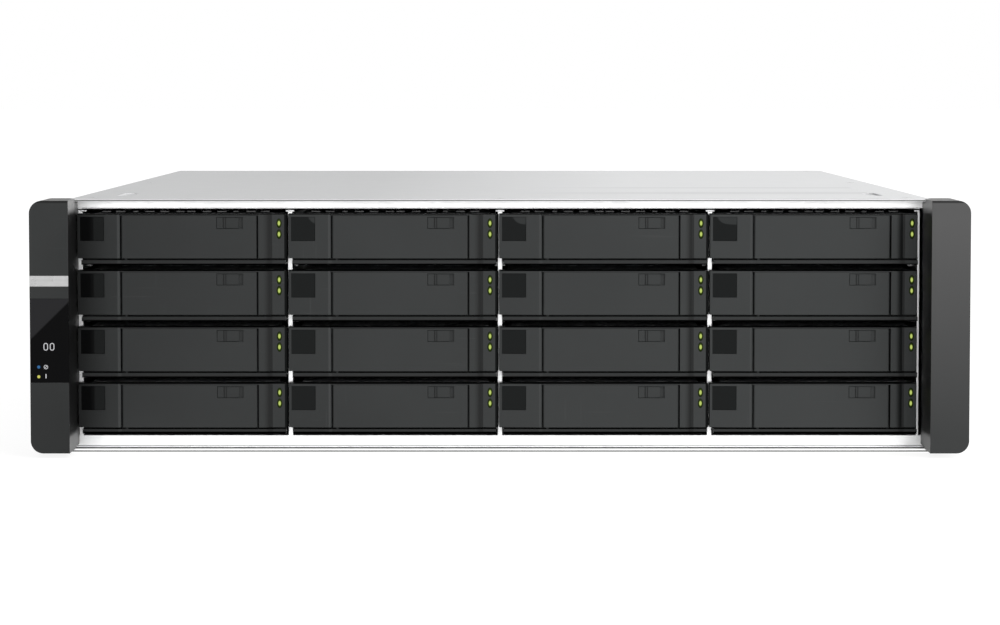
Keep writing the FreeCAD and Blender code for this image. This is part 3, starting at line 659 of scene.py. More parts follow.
@dataclass(frozen=True)
class Finish:
    """A surface finish; each kind draws its own nodes once and hands out the same material after that.

    Attributes:
        name: The material's name.
    """

    name: str

    def material(self) -> bpy.types.Material:
        """The finish's material, drawn on first use."""
        known = bpy.data.materials.get(self.name)
        if known is not None and known.get("drawn"):
            return known
        made = bpy.data.materials.new(self.name)
        made.use_nodes = True
        made.node_tree.nodes.clear()
        made["drawn"] = True
        graph = Graph(made.node_tree)
        shader = graph.node("ShaderNodeBsdfPrincipled", self.draw(graph))
        graph.node("ShaderNodeOutputMaterial", {"Surface": shader.outputs[0]})
        return made

    def draw(self, graph: Graph) -> Inputs:
        """Draws the finish's nodes and returns sockets and constants for the shader's inputs, by name."""
        raise NotImplementedError

    @staticmethod
    def soft_edges(graph: Graph, radius: float) -> tuple[Socket, Socket]:
        """Light that rolls over sharp edges as over a small rounding.

        Args:
            graph: The material's graph.
            radius: The rounding's radius in millimetres.

        Returns:
            The rounded normal, and a mask that is 1 along edges: where the rounded normal leaves the true one.
        """
        rounded = graph.node("ShaderNodeBevel", {"Radius": radius * MM}, samples=6).outputs[0]
        likeness = graph.vector("DOT_PRODUCT", rounded, graph.normal()).outputs["Value"]
        return rounded, graph.rescale(likeness, (0.97, 0.8))

    @staticmethod
    def in_box(graph: Graph, place: Socket, low: Point, high: Point) -> Socket:
        """A mask that is 1 inside a box, whose corners are in millimetres."""
        corners = [tuple(value * MM for value in corner) for corner in (low, high)]
        return graph.effect(EFFECTS.inside, Position=place, Low=corners[0], High=corners[1])["Mask"]


@dataclass(frozen=True)
class MouldedPlastic(Finish):
    """Matte moulded plastic with a fine grain, a slow change of tone and rubbed edges.

    Attributes:
        shade, light, worn: The darker and the lighter tone, and the tone of rubbed edges and scratches.
        roughness, rough_spread: Middle roughness, and how far it goes up and down.
        specular: Specular level, the same all over.
        edge: Radius of the moulding's edges, in millimetres.
        grain, grain_relief: Grain pits for each metre, and their strength and depth in millimetres.
        rubbed_edges, wear, polish: How far edges are rubbed, take the worn tone and get smoother.
        dust, dust_tone: How far dust covers the faces that look up, and its tone.
    """

    shade: Colour = (0.017, 0.0183, 0.0183)
    light: Colour = (0.0203, 0.0217, 0.0217)
    worn: Colour = (0.045, 0.047, 0.047)
    roughness: float = 0.5
    specular: float = 0.16
    edge: float = 0.3
    grain: float = 3200.0
    grain_relief: Pair = (0.18, 0.06)
    rubbed_edges: float = 0.45
    wear: float = 0.6
    polish: float = 0.1
    dust: float = 0.12
    dust_tone: Colour = (0.32, 0.31, 0.3)
    rough_spread: float = 0.06

    def draw(self, graph: Graph) -> Inputs:
        """Draws grain, tone, edge wear, scratches and dust."""
        place = graph.place()
        grain = graph.effect(EFFECTS.grain, Position=place, Grain=self.grain)
        marks = graph.effect(EFFECTS.marks, Position=place)
        rounded, edges = self.soft_edges(graph, self.edge)
        rubbed = graph.most(graph.times(edges, self.rubbed_edges), marks["Scratch"])
        colour = graph.blend(grain["Tone"], self.shade, self.light)
        colour = graph.blend(graph.times(rubbed, self.wear), colour, self.worn)
        colour = graph.blend(graph.times(marks["Dust"], self.dust), colour, self.dust_tone)
        rough = graph.spread(grain["Tone"], (self.roughness + self.rough_spread, self.roughness - self.rough_spread))
        return {
            "Base Color": colour,
            "Roughness": graph.math("SUBTRACT", rough, graph.times(rubbed, self.polish)),
            "Normal": graph.bump(grain["Height"], self.grain_relief, rounded),
            "Specular IOR Level": self.specular,
        }


@dataclass(frozen=True)
class FrontPlastic(MouldedPlastic):
    """The plastic of the bays' fronts, with painted light: its colour is painted lighter toward the right side, where
    the light falls.

    Attributes:
        lit, lit_share: The painted light's tone that the right side tends to, and how far it does so.
        lit_span: Where the painted light starts and ends across the case, in millimetres.
    """

    shade: Colour = (0.0162, 0.0174, 0.0174)
    light: Colour = (0.0192, 0.0206, 0.0206)
    lit: Colour = (0.036, 0.0385, 0.0385)
    lit_span: Pair = (-165.0, 165.0)
    lit_share: float = 0.5

    def draw(self, graph: Graph) -> Inputs:
        """Draws the plastic and paints light on it: its colour is led over to the lit tone toward the right."""
        skin = super().draw(graph)
        # Painted light: lighter toward the right across the case.
        share = graph.ramp(graph.split(graph.place())[0], self.lit_span, (0.0, self.lit_share))
        return skin | {"Base Color": graph.blend(share, skin["Base Color"], self.lit)}


@dataclass(frozen=True)
class LatchPlastic(FrontPlastic):
    """The latch's plastic, with a thin rib between two grooves for the fingertip; the grooves are painted as dark lines
    of shade.

    Attributes:
        grooves, groove_half: Middles of the two grooves across the bay and half their width, in millimetres.
        groove_shade: How dark a groove's painted shade is.
    """

    grooves: Pair = (75.9, 77.0)
    groove_half: float = 0.27
    groove_shade: float = 0.85

    def draw(self, graph: Graph) -> Inputs:
        """Draws the plastic and the painted shade of its two grooves."""
        skin = super().draw(graph)
        in_bay = graph.in_bay(graph.split(graph.place())[0])
        # Painted shade: the grooves are dark lines in the colour, not cut into the surface.
        near = [graph.math("COMPARE", in_bay, middle * MM, self.groove_half * MM) for middle in self.grooves]
        groove = graph.times(graph.most(*near), self.groove_shade)
        return skin | {"Base Color": graph.darken(skin["Base Color"], groove)}


@dataclass(frozen=True)
class TrayPlastic(FrontPlastic):
    """The tray's plastic, with a painted highlight and painted shade on its face, and the bare metal of the disk behind
    it. Places are in millimetres.

    Attributes:
        first_low: Lower end of the lowest bay.
        strip_top, strip_shaded_share: Height of the lower strip in the bay, and how much of the face's tone it keeps
            under its painted shade.
        rim, hinge_highlight_tone: Where the painted highlight along the hinge lies across the bay, and its tone.
        step, step_shade: Where the painted shade on the right wing's step starts, is darkest and ends, and how dark it
            gets.
        ear_shade, ear_shadow_darkness: Where the left ear's painted shadow is deepest and ends across the case, and how
            dark it is.
        rims, rim_shade: Heights in the bay below and above which the face's rims take painted shade, and how dark it
            is.
        last_rim: Height below which the lowest row's strip takes painted shade.
        face_end: How far back along Y these painted tones of the face reach.
        disk, disk_front: The disk's place across the bay, and where it starts along Y.
        metal, metal_line, metal_lines: The disk casting's tone, its lines' tone and how far they take it.
        metal_rough, metal_patches: Least and greatest roughness of the casting, and its patches for each metre.
    """

    first_low: float = 6.2
    strip_top: float = 5.8
    strip_shaded_share: float = 0.66
    rim: Pair = (20.4, 22.2)
    hinge_highlight_tone: Colour = (0.032, 0.034, 0.034)
    step: Point = (96.5, 98.9, 101.2)
    step_shade: float = 0.68
    ear_shade: Pair = (-220.0, -204.0)
    ear_shadow_darkness: float = 0.6
    rims: Pair = (3.6, 29.1)
    last_rim: float = 10.3
    rim_shade: float = 0.97
    face_end: float = -302.0
    disk: Pair = (4.1, 105.9)
    disk_front: float = -295.0
    metal: Colour = (0.5, 0.51, 0.52)
    metal_line: Colour = (0.68, 0.69, 0.7)
    metal_lines: float = 0.25
    metal_rough: Pair = (0.32, 0.42)
    metal_patches: float = 260.0

    def draw(self, graph: Graph) -> Inputs:
        """Draws the plastic, its painted highlight and its painted shades, then the disk's metal, each by the place in
        the bay.
        """
        skin = super().draw(graph)
        rough = skin["Roughness"]
        across, depth, height = graph.split(graph.place())
        in_bay = graph.in_bay(across)
        level = graph.wrap(height, self.first_low, BAY_PITCH[1])
        on_face = graph.below(depth, self.face_end)
        # Painted highlight: a pale band along the left wing's edge beside the hinge.
        rim = graph.times(graph.between(in_bay, self.rim), on_face)
        colour = graph.blend(rim, skin["Base Color"], self.hinge_highlight_tone)
        # Painted shade on the right wing's step, on the face beside the left ear, on the face's top and bottom rims and
        # on the lower strip.
        step_painted_shade = graph.ramp(in_bay, self.step[:2], (0.0, self.step_shade))
        step = graph.times(step_painted_shade, graph.below(in_bay, self.step[2]))
        ear_painted_shadow = graph.ramp(across, self.ear_shade, (self.ear_shadow_darkness, 0.0))
        low_rims = graph.most(graph.below(level, self.rims[0]), graph.below(height, self.last_rim))
        rims = graph.times(graph.most(low_rims, graph.above(level, self.rims[1])), on_face)
        shade = graph.most(step, ear_painted_shadow, graph.times(rims, self.rim_shade))
        strip = graph.times(graph.below(level, self.strip_top), 1 - self.strip_shaded_share)
        colour = graph.darken(colour, graph.most(graph.times(shade, on_face), strip))
        disk = graph.times(graph.between(in_bay, self.disk), graph.above(depth, self.disk_front))
        sheet = graph.effect(EFFECTS.sheet, Position=graph.place(), Patches=self.metal_patches)
        metal = graph.blend(graph.times(sheet["Lines"], self.metal_lines), self.metal, self.metal_line)
        change = graph.math("SUBTRACT", graph.spread(sheet["Patch"], self.metal_rough), rough)
        return skin | {
            "Base Color": graph.blend(disk, colour, metal),
            "Roughness": graph.math("MULTIPLY_ADD", disk, change, rough),
            # Painted shade: the rims are painted black and made metal, which mirrors nothing, so they stay dark under
            # the front light.
            "Metallic": graph.most(disk, rims),
        }


@dataclass(frozen=True)
class EarPlastic(MouldedPlastic):
    """The ear covers' plastic, with painted light and shade: lighter where it looks up and on the right ear, darker low
    on the left ear, and with painted tones on the inner flanks.

    Attributes:
        reach: The lower and upper end of the painted light's change along Z, in millimetres.
        lit, lit_shares: The painted light's tone that the right ear tends to, and how far at its lower and upper end.
        left_shade: How much darker the left ear's lower end is painted, as shade.
        upward, top_painted_light: How far up a face looks where it starts to take the painted light of the tops and has
            it, and that tone.
        line: Height above which the front's upper edge is dark, and how dark it is.
        front: Where the front face ends along Y.
        flank: The painted light and shade of an inner flank: its tones at half height, at its upper end and at its
            lower end.
        flank_ends: Heights between which a flank changes, at the upper end and at the lower end.
        inward: A face is an inner flank where its normal's X times its place across is below this.
    """

    reach: Pair = (10.0, 122.0)
    lit: Colour = grey(0.06)
    lit_shares: Pair = (0.15, 1.0)
    left_shade: float = 0.3
    upward: Pair = (0.6, 0.95)
    top_painted_light: Colour = grey(0.16)
    line: Pair = (130.85, 0.75)
    front: float = -336.2
    flank: tuple[Colour, Colour, Colour] = (grey(0.003), grey(0.22), grey(0.14))
    flank_ends: tuple[Pair, Pair] = ((124.4, 127.6), (11.5, 9.5))
    inward: float = -150.0

    def draw(self, graph: Graph) -> Inputs:
        """Draws the plastic, then its painted light and shade by height, side and the way that a face looks."""
        skin = super().draw(graph)
        across, depth, height = graph.split(graph.place())
        sideways, _, upward = graph.split(graph.normal())
        # Painted light: the right ear lighter toward its top; painted shade: the left ear darker toward its bottom.
        rise = graph.ramp(height, self.reach)
        right = graph.above(across, 0.0)
        lit = graph.times(right, graph.spread(rise, self.lit_shares))
        colour = graph.blend(lit, skin["Base Color"], self.lit)
        shade = graph.times(graph.math("SUBTRACT", 1.0, right), graph.spread(rise, (self.left_shade, 0.0)))
        edge = graph.times(graph.above(height, self.line[0]), graph.below(depth, self.front), self.line[1])
        colour = graph.darken(colour, graph.most(shade, edge))
        # Painted light on faces that look up, then painted light and shade on the inner flanks, dark at half height and
        # lighter at their ends.
        colour = graph.blend(graph.rescale(upward, self.upward), colour, self.top_painted_light)
        flank = self.flank[0]
        for ends, tone in zip(self.flank_ends, self.flank[1:]):
            flank = graph.blend(graph.ramp(height, ends), flank, tone)
        inner = graph.below(graph.times(sideways, across), self.inward)
        return skin | {"Base Color": graph.blend(inner, colour, flank)}


@dataclass(frozen=True)
class SheetSteel(Finish):
    """Coated sheet steel with rolling lines, faint zinc patches, rubbed edges and a few scratches.

    Attributes:
        base, bright, pattern: The sheet's tone, that of lines and edges, and how far the pattern takes it.
        roughness, rough_spread: Middle roughness, and how far it goes down and up.
        patches: Zinc patches for each metre.
        edge: Radius of the sheet's edges, in millimetres.
        metallic: 1 for bare metal, less where the coat scatters light.
        specular: Specular level of the coat, the same all over.
        scratches, scratch_tone: How far scratches take their tone, and that tone.
        dust_rough: How much rougher dust makes the sheet.
        line_relief: Strength of the lines, and their depth in millimetres.
    """

    base: Colour = (0.8, 0.81, 0.81)
    bright: Colour = (0.95, 0.955, 0.955)
    roughness: float = 0.36
    patches: float = 90.0
    edge: float = 0.35
    metallic: float = 1.0
    specular: float = 0.5
    pattern: float = 0.35
    scratches: float = 0.3
    scratch_tone: Colour = (0.55, 0.55, 0.56)
    rough_spread: Pair = (0.04, 0.05)
    dust_rough: float = 0.08
    line_relief: Pair = (0.06, 0.05)

    def draw(self, graph: Graph) -> Inputs:
        """Draws lines, patches, edges and scratches over the metal."""
        place = graph.place()
        sheet = graph.effect(EFFECTS.sheet, Position=place, Patches=self.patches)
        marks = graph.effect(EFFECTS.marks, Position=place)
        rounded, edges = self.soft_edges(graph, self.edge)
        tone = graph.math("MULTIPLY_ADD", sheet["Patch"], self.pattern, graph.times(sheet["Lines"], self.pattern))
        colour = graph.blend(graph.most(tone, edges), self.base, self.bright)
        down, up = self.rough_spread
        rough = graph.spread(sheet["Patch"], (self.roughness - down, self.roughness + up))
        return {
            "Base Color": graph.blend(graph.times(marks["Scratch"], self.scratches), colour, self.scratch_tone),
            "Roughness": graph.math("MULTIPLY_ADD", marks["Dust"], self.dust_rough, rough),
            "Normal": graph.bump(sheet["Height"], self.line_relief, rounded),
            "Metallic": self.metallic,
            "Specular IOR Level": self.specular,
        }


@dataclass(frozen=True)
class FoldedSteel(SheetSteel):
    """The bright sheet of the base and the cage, with dark seams, painted shade on the walls behind the front and
    painted shade on the dividers between trays.

    Attributes:
        seams: The low and the high corner of each seam or painted shade, in millimetres, and how dark it is.
        top_row_painted_shade: The same for the painted shade on the dividers beside the top row, which each row below
            repeats.
        rear: Where the walls behind the front start along Y, and how much darker they are painted, as shade.
    """

    # The seam above the hem; painted shade on the hem's lower edge; a line on the cage's lower band; painted shade on
    # the flange under the upper band.
    seams: tuple[tuple[Point, Point, float], ...] = (
        ((-230.0, -310.0, 1.6), (230.0, -308.5, 2.5), 0.9),
        ((-230.0, -310.0, -0.5), (230.0, -308.5, 0.74), 0.86),
        ((-230.0, -297.0, 1.7), (230.0, -295.5, 2.15), 0.7),
        ((-230.0, -296.2, 125.74), (230.0, -293.0, 126.41), 0.95),
    )
    top_row_painted_shade: tuple[Point, Point, float] = ((-150.0, -297.0, 100.6), (50.0, -290.0, 123.9), 0.4)
    rear: Pair = (-293.0, 0.48)

    def draw(self, graph: Graph) -> Inputs:
        """Draws the sheet, then paints shade on the walls behind the front, and darkens the seams and the dividers."""
        skin = super().draw(graph)
        place = graph.place()
        # Painted shade: the walls behind the front are painted darker than the front bands of the same sheet.
        start, shade = self.rear
        colour = graph.darken(skin["Base Color"], graph.times(graph.above(graph.split(place)[1], start), shade))
        # Painted shade on the dividers' front edges beside each row of trays.
        *corners, row_shade = self.top_row_painted_shade
        rows = [
            (*((x, y, z - row * BAY_PITCH[1]) for x, y, z in corners), row_shade) for row in range(BAY_ROWS)
        ]
        for low, high, shade in (*self.seams, *rows):
            colour = graph.darken(colour, graph.times(self.in_box(graph, place, low, high), shade))
        return skin | {"Base Color": colour}


@dataclass(frozen=True)
class CoverSheet(SheetSteel):
    """The cover's satin sheet, with painted light and shade: darker on its left side, lighter on its right, where the
    light falls, and with bands of painted shade for the channels pressed across it.

    Attributes:
        turn, left_shade: Where the painted left shade ends and the lighter right side starts, in millimetres, and
            how much darker the left side is painted.
        channels: The front and the back of each band of painted shade along Y, and how dark it is.
        left_shade_line: The same three values for a line of painted shade that only shows on the left side.
        channel_half, channel_edge: Half the channels' length across the case, and the width of their soft edge.
        walls: How dark the painted shade is on the walls that face the front on the right side, and where along Y they
            start.
        forward: A face is such a wall where its normal's Y is below this.
    """

    turn: Pair = (-75.0, 80.0)
    left_shade: float = 0.22
    channels: tuple[Point, ...] = ((-117.0, -93.0, 0.09), (-226.0, -185.0, 0.1), (-312.0, -291.0, 0.065))
    channel_half: float = 203.0
    channel_edge: float = 6.0
    left_shade_line: Point = (-241.0, -222.0, 0.13)
    walls: Pair = (0.25, -300.0)
    forward: float = -0.3

    def draw(self, graph: Graph) -> Inputs:
        """Draws the sheet with the darkest of all painted shades at each spot."""
        skin = super().draw(graph)
        across, depth, _ = graph.split(graph.place())
        # Painted light and shade: the left side is painted darker than the right.
        left = graph.ramp(across, self.turn, (1.0, 0.0))
        within = graph.below(graph.math("ABSOLUTE", across), self.channel_half)
        bands = [graph.times(self.band(graph, depth, *channel), within) for channel in self.channels]
        line = graph.times(self.band(graph, depth, *self.left_shade_line), left, within)
        wall_shade, start = self.walls
        facing = graph.math("LESS_THAN", graph.split(graph.normal("True Normal"))[1], self.forward)
        wall = graph.times(facing, graph.above(across, 0.0), graph.above(depth, start), wall_shade)
        shade = graph.most(graph.times(left, self.left_shade), *bands, line, wall)
        return skin | {"Base Color": graph.darken(skin["Base Color"], shade)}

    def band(self, graph: Graph, depth: Socket, front: float, back: float, shade: float) -> Socket:
        """A soft-edged band of painted shade between two places along Y."""
        half = self.channel_edge / 2
        behind = graph.ramp(depth, (front - half, front + half))
        before = graph.ramp(depth, (back - half, back + half), (1.0, 0.0))
        return graph.times(behind, before, shade)


@dataclass(frozen=True)
class SupplySteel(SheetSteel):
    """A power supply's sheet, with its black inlet and handle and its coloured release leaf.

    Attributes:
        inlet, handle, leaf: Low and high corners of the lower supply's moulded pieces, in millimetres.
        leaf_colour, leaf_shares: The leaf's tone, and how far it takes it where its grain is darkest and lightest.
        blacks: The darker and the lighter tone of inlet and handle.
        grain, moulded_rough: Grain pits for each metre, and how much rougher the pieces are than the sheet.
    """

    inlet: tuple[Point, Point] = ((155.4, 295.0, 16.8), (184.8, 316.0, 38.7))
    handle: tuple[Point, Point] = ((186.0, 313.02, 15.5), (217.0, 340.0, 27.5))
    leaf: tuple[Point, Point] = ((209.0, 313.02, 30.0), (217.0, 325.0, 41.4))
    leaf_colour: Colour = (0.05, 0.24, 0.2)
    leaf_shares: Pair = (0.9, 1.0)
    blacks: tuple[Colour, Colour] = ((0.012, 0.012, 0.013), (0.018, 0.018, 0.019))
    grain: float = 3000.0
    moulded_rough: float = 0.12

    def draw(self, graph: Graph) -> Inputs:
        """Draws the sheet, then the moulded pieces where the place on the supply is theirs."""
        skin = super().draw(graph)
        across, depth, height = graph.split(graph.place())
        level = graph.wrap(height, 0.0, SUPPLY_PITCH)
        place = graph.node("ShaderNodeCombineXYZ", {0: across, 1: depth, 2: level}).outputs[0]
        inlet, handle, leaf = (self.in_box(graph, place, *box) for box in (self.inlet, self.handle, self.leaf))
        moulded = graph.most(inlet, handle, leaf)
        grain = graph.effect(EFFECTS.grain, Position=place, Grain=self.grain)
        black = graph.blend(grain["Tone"], *self.blacks)
        colour = graph.blend(graph.most(inlet, handle), skin["Base Color"], black)
        tint = graph.times(leaf, graph.spread(grain["Tone"], self.leaf_shares))
        return skin | {
            "Base Color": graph.blend(tint, colour, self.leaf_colour),
            "Roughness": graph.math("MULTIPLY_ADD", moulded, self.moulded_rough, skin["Roughness"]),
            "Metallic": graph.math("SUBTRACT", 1.0, moulded),
        }


@dataclass(frozen=True)
class PolishedBlack(Finish):
    """Polished black acrylic: deep, glossy, with hair-fine polishing marks and a painted reflection, a soft step to a
    lighter sheen.

    Attributes:
        deep, sheen: The tones on the dark and on the light side of the painted reflection's edge.
        slope: Direction that this edge crosses, as (across, up).
        offset, softness: Where it lies along that direction, and its width, in millimetres.
        specular: Specular level, the same all over.
        gloss: Roughness beside and in a polishing mark.
    """

    deep: Colour = (0.0024, 0.0025, 0.0026)
    sheen: Colour = (0.0072, 0.0078, 0.0078)
    slope: Pair = (1.0, 0.0)
    offset: float = 0.0
    softness: float = 0.8
    specular: float = 0.036
    gloss: Pair = (0.1, 0.22)

    def draw(self, graph: Graph) -> Inputs:
        """Draws the tone, and the polishing marks in the roughness."""
        place = graph.place()
        marks = graph.effect(EFFECTS.marks, Position=place)
        return {
            "Base Color": self.tone(graph, place),
            "Roughness": graph.spread(marks["Scratch"], self.gloss),
            "Specular IOR Level": self.specular,
        }

    def tone(self, graph: Graph, place: Socket) -> Socket:
        """The painted reflection: a soft step to the sheen along the slope."""
        across, _, up = graph.split(place)
        along = graph.math("MULTIPLY_ADD", across, self.slope[0], graph.times(up, self.slope[1]))
        half = self.softness / 2
        return graph.blend(graph.ramp(along, (self.offset - half, self.offset + half)), self.deep, self.sheen)


@dataclass(frozen=True)
class InsetBlack(PolishedBlack):
    """The insets' acrylic. The top row has a painted reflection of a pale corner that lies farther left from bay to
    bay.

    Attributes:
        corner: The painted reflection's tone.
        corner_start, corner_step: Where it starts in the first bay, in millimetres, and how much farther left in
            each next bay.
        corner_drop, corner_run: How far down it reaches, and over which distance its lower edge bends level.
        top: Height of the top row's insets.
    """

    corner: Colour = (0.024, 0.0255, 0.0255)
    corner_start: float = 13.4
    corner_step: float = 3.37
    corner_drop: float = 4.0
    corner_run: float = 1.9
    top: float = 122.6

    def tone(self, graph: Graph, place: Socket) -> Socket:
        """The painted reflections: the sheen, and the corner whose lower edge falls by drop * (1 - exp(-distance /
        run)) from its start.
        """
        across, _, up = graph.split(place)
        bays = graph.math("DIVIDE", graph.math("SUBTRACT", across, FIRST_LEFT * MM), BAY_PITCH[0] * MM)
        column = graph.math("FLOOR", bays)
        start = graph.math("MULTIPLY_ADD", column, -self.corner_step * MM, self.corner_start * MM)
        distance = graph.math("SUBTRACT", graph.in_bay(across), start)
        left_over = graph.math("EXPONENT", graph.math("DIVIDE", distance, -self.corner_run * MM))
        edge = graph.math("MULTIPLY_ADD", left_over, self.corner_drop * MM, (self.top - self.corner_drop) * MM)
        # Painted reflection: the pale corner over the top row's insets.
        return graph.blend(graph.math("GREATER_THAN", up, edge), super().tone(graph, place), self.corner)


@dataclass(frozen=True)
class LampLens(Finish):
    """A moulded lens that glows: bright core, coloured skirt and dark rim, by the reach from its middle.

    Attributes:
        core, skirt, rim: Light at the middle, round the core and at the rim.
        core_end, core_fade, rim_start: Reach at which the core starts to fade, over which it does, and at which the
            skirt has faded into the rim.
        strength, specular: How bright the core is, and the specular level.
        grain, waviness: Grain pits for each metre, and how far they move the steps.
        gloss: Least and greatest roughness.
    """

    core: Colour = (0.68, 0.82, 0.2)
    skirt: Colour = (0.014, 0.025, 0.0012)
    rim: Colour = (0.002, 0.004, 0.0005)
    core_end: float = 0.42
    core_fade: float = 0.16
    rim_start: float = 0.98
    strength: float = 0.72
    specular: float = 0.05
    grain: float = 5000.0
    waviness: float = 0.04
    gloss: Pair = (0.18, 0.28)

    def draw(self, graph: Graph) -> Inputs:
        """Draws two soft steps along the reach, broken a little by the lens's grain."""
        grain = graph.effect(EFFECTS.grain, Position=graph.place(), Grain=self.grain)
        wavy = graph.math("MULTIPLY_ADD", grain["Height"], self.waviness, graph.reach())
        skirt_start = self.core_end + self.core_fade
        inner = graph.rescale(wavy, (self.core_end, skirt_start))
        outer = graph.rescale(wavy, (skirt_start, self.rim_start))
        return {
            "Emission Color": graph.blend(outer, graph.blend(inner, self.core, self.skirt), self.rim),
            "Emission Strength": self.strength,
            "Base Color": graph.blend(outer, self.skirt, self.rim),
            "Roughness": graph.spread(grain["Tone"], self.gloss),
            "Specular IOR Level": self.specular,
        }


@dataclass(frozen=True)
class FastenerSteel(Finish):
    """A plated screw: bright head, with painted shade in its recess and in a dark line round its rim.

    Attributes:
        bright, dark: The plating's tone, and the painted shade inside the recess.
        metallic: 1 for plating, 0 for a blacked screw.
        recess, rim: Reach at which the recess, and the line round the rim, start and are dark.
        rim_shade: How dark that line gets.
        rings, gloss: Turning rings as radians from the middle to the rim, and least and greatest roughness.
    """

    bright: Colour = grey(0.62)
    dark: Colour = grey(0.05)
    metallic: float = 1.0
    recess: Pair = (0.4, 0.34)
    rim: Pair = (0.93, 0.99)
    rim_shade: float = 0.7
    rings: float = 90.0
    gloss: Pair = (0.28, 0.4)

    def draw(self, graph: Graph) -> Inputs:
        """Draws the painted shade of recess and rim from the reach, and turning rings in the roughness."""
        reach = graph.reach()
        # Painted shade in the recess and along the rim.
        dark = graph.most(graph.rescale(reach, self.recess), graph.rescale(reach, self.rim, (0.0, self.rim_shade)))
        rings = graph.math("SINE", graph.times(reach, self.rings))
        return {
            "Base Color": graph.blend(dark, self.bright, self.dark),
            "Roughness": graph.rescale(rings, (-1.0, 1.0), self.gloss),
            "Metallic": self.metallic,
        }


@dataclass(frozen=True)
class ContactMetal(Finish):
    """Plated contact metal with drawn lines along it.

    Attributes:
        base, worn, patches: The plating's tone, the tone of rubbed spots, and their number for each metre.
        gloss: Least and greatest roughness.
    """

    base: Colour = (0.86, 0.62, 0.26)
    worn: Colour = (0.7, 0.5, 0.25)
    patches: float = 800.0
    gloss: Pair = (0.2, 0.34)

    def draw(self, graph: Graph) -> Inputs:
        """Draws the plating's lines and rubbed spots."""
        sheet = graph.effect(EFFECTS.sheet, Position=graph.place(), Patches=self.patches)
        return {
            "Base Color": graph.blend(sheet["Patch"], self.base, self.worn),
            "Roughness": graph.spread(sheet["Lines"], self.gloss),
            "Metallic": 1.0,
        }


@dataclass(frozen=True)
class CircuitBoard(Finish):
    """The boards: green mask with traces and pads, black connectors, brass legs and bright metal parts.

    Attributes:
        mask, trace: The solder mask's tone, and the tone over a copper trace.
        trace_step, trace_relief: Width of the traces' steps in millimetres, and their strength and height.
        board_top, board_under, board_front: Heights of the mainboard's faces, and where it starts along Y.
        backplane: Where the backplane's front face lies along Y.
        silver, brass, plug: The two tones of the metal parts, and those of legs and connectors.
        patches, gloss: Patches of the metal for each metre, and least and greatest roughness.
    """

    mask: Colour = (0.008, 0.05, 0.02)
    trace: Colour = (0.02, 0.1, 0.035)
    trace_step: float = 1.2
    trace_relief: Pair = (0.2, 0.04)
    board_top: float = 9.33
    board_under: float = 7.67
    board_front: float = 50.0
    backplane: float = -141.02
    silver: tuple[Colour, Colour] = ((0.66, 0.67, 0.68), (0.8, 0.81, 0.82))
    brass: Colour = (0.72, 0.53, 0.24)
    plug: Colour = (0.012, 0.012, 0.013)
    patches: float = 160.0
    gloss: Pair = (0.3, 0.42)

    def draw(self, graph: Graph) -> Inputs:
        """Draws traces as thresholded stepped noise, then the other parts by their place."""
        place = graph.place()
        steps = graph.vector("SNAP", place, (self.trace_step * MM,) * 3).outputs[0]
        runs = graph.noise(graph.stretched(steps, (900.0, 60.0, 60.0)), 1.0, 1.0)
        traces = graph.rescale(runs, (0.54, 0.56))
        _, depth, height = graph.split(place)
        behind = graph.above(depth, self.board_front)
        metal = graph.times(behind, graph.above(height, self.board_top))
        legs = graph.times(behind, graph.below(height, self.board_under))
        sheet = graph.effect(EFFECTS.sheet, Position=place, Patches=self.patches)
        colour = graph.blend(traces, self.mask, self.trace)
        colour = graph.blend(metal, colour, graph.blend(sheet["Lines"], *self.silver))
        colour = graph.blend(legs, colour, self.brass)
        return {
            "Base Color": graph.blend(graph.below(depth, self.backplane), colour, self.plug),
            "Metallic": graph.most(metal, legs),
            "Roughness": graph.spread(sheet["Patch"], self.gloss),
            "Normal": graph.bump(traces, self.trace_relief),
        }


@dataclass(frozen=True)
class PaperLabel(Finish):
    """A blank pale label with a faint fibre grain.

    Attributes:
        tone, dark: The paper's tone, and how much of it is left between fibres.
        relief: Strength of the fibres, and their height in millimetres.
        roughness: The same all over.
    """

    tone: Colour = (0.62, 0.63, 0.63)
    dark: float = 0.9
    relief: Pair = (0.1, 0.04)
    roughness: float = 0.55

    def draw(self, graph: Graph) -> Inputs:
        """Draws the fibres in colour and bump."""
        fibres = graph.noise(graph.stretched(graph.place(), (300.0, 1400.0, 600.0)), 1.0, 4.0)
        darker = tuple(self.dark * part for part in self.tone)
        return {
            "Base Color": graph.blend(fibres, darker, self.tone),
            "Normal": graph.bump(fibres, self.relief),
            "Roughness": self.roughness,
        }


@dataclass(frozen=True)
class GlowingLayer(Finish):
    """A thin layer that gives light, with a little unevenness: the studio's paper, or printed ink that glows as painted
    light.

    Attributes:
        tones, lights: The two tones of the layer, and of its light, that the unevenness leads between.
        glow: How bright its light is.
        scale: Uneven spots for each metre.
        noise, share: Range of the noise that counts, and how far it leads to the second tone.
        roughness, specular: The same all over.
    """

    tones: tuple[Colour, Colour]
    lights: tuple[Colour, Colour]
    glow: float
    scale: float
    noise: Pair = (0.0, 1.0)
    share: float = 1.0
    roughness: float = 0.9
    specular: float = 0.1

    def draw(self, graph: Graph) -> Inputs:
        """Draws the tone and the light by the same soft noise."""
        uneven = graph.rescale(graph.noise(graph.place(), self.scale, 2.0), self.noise, (0.0, self.share))
        return {
            "Base Color": graph.blend(uneven, *self.tones),
            "Emission Color": graph.blend(uneven, *self.lights),
            "Emission Strength": self.glow,
            "Roughness": self.roughness,
            "Specular IOR Level": self.specular,
        }


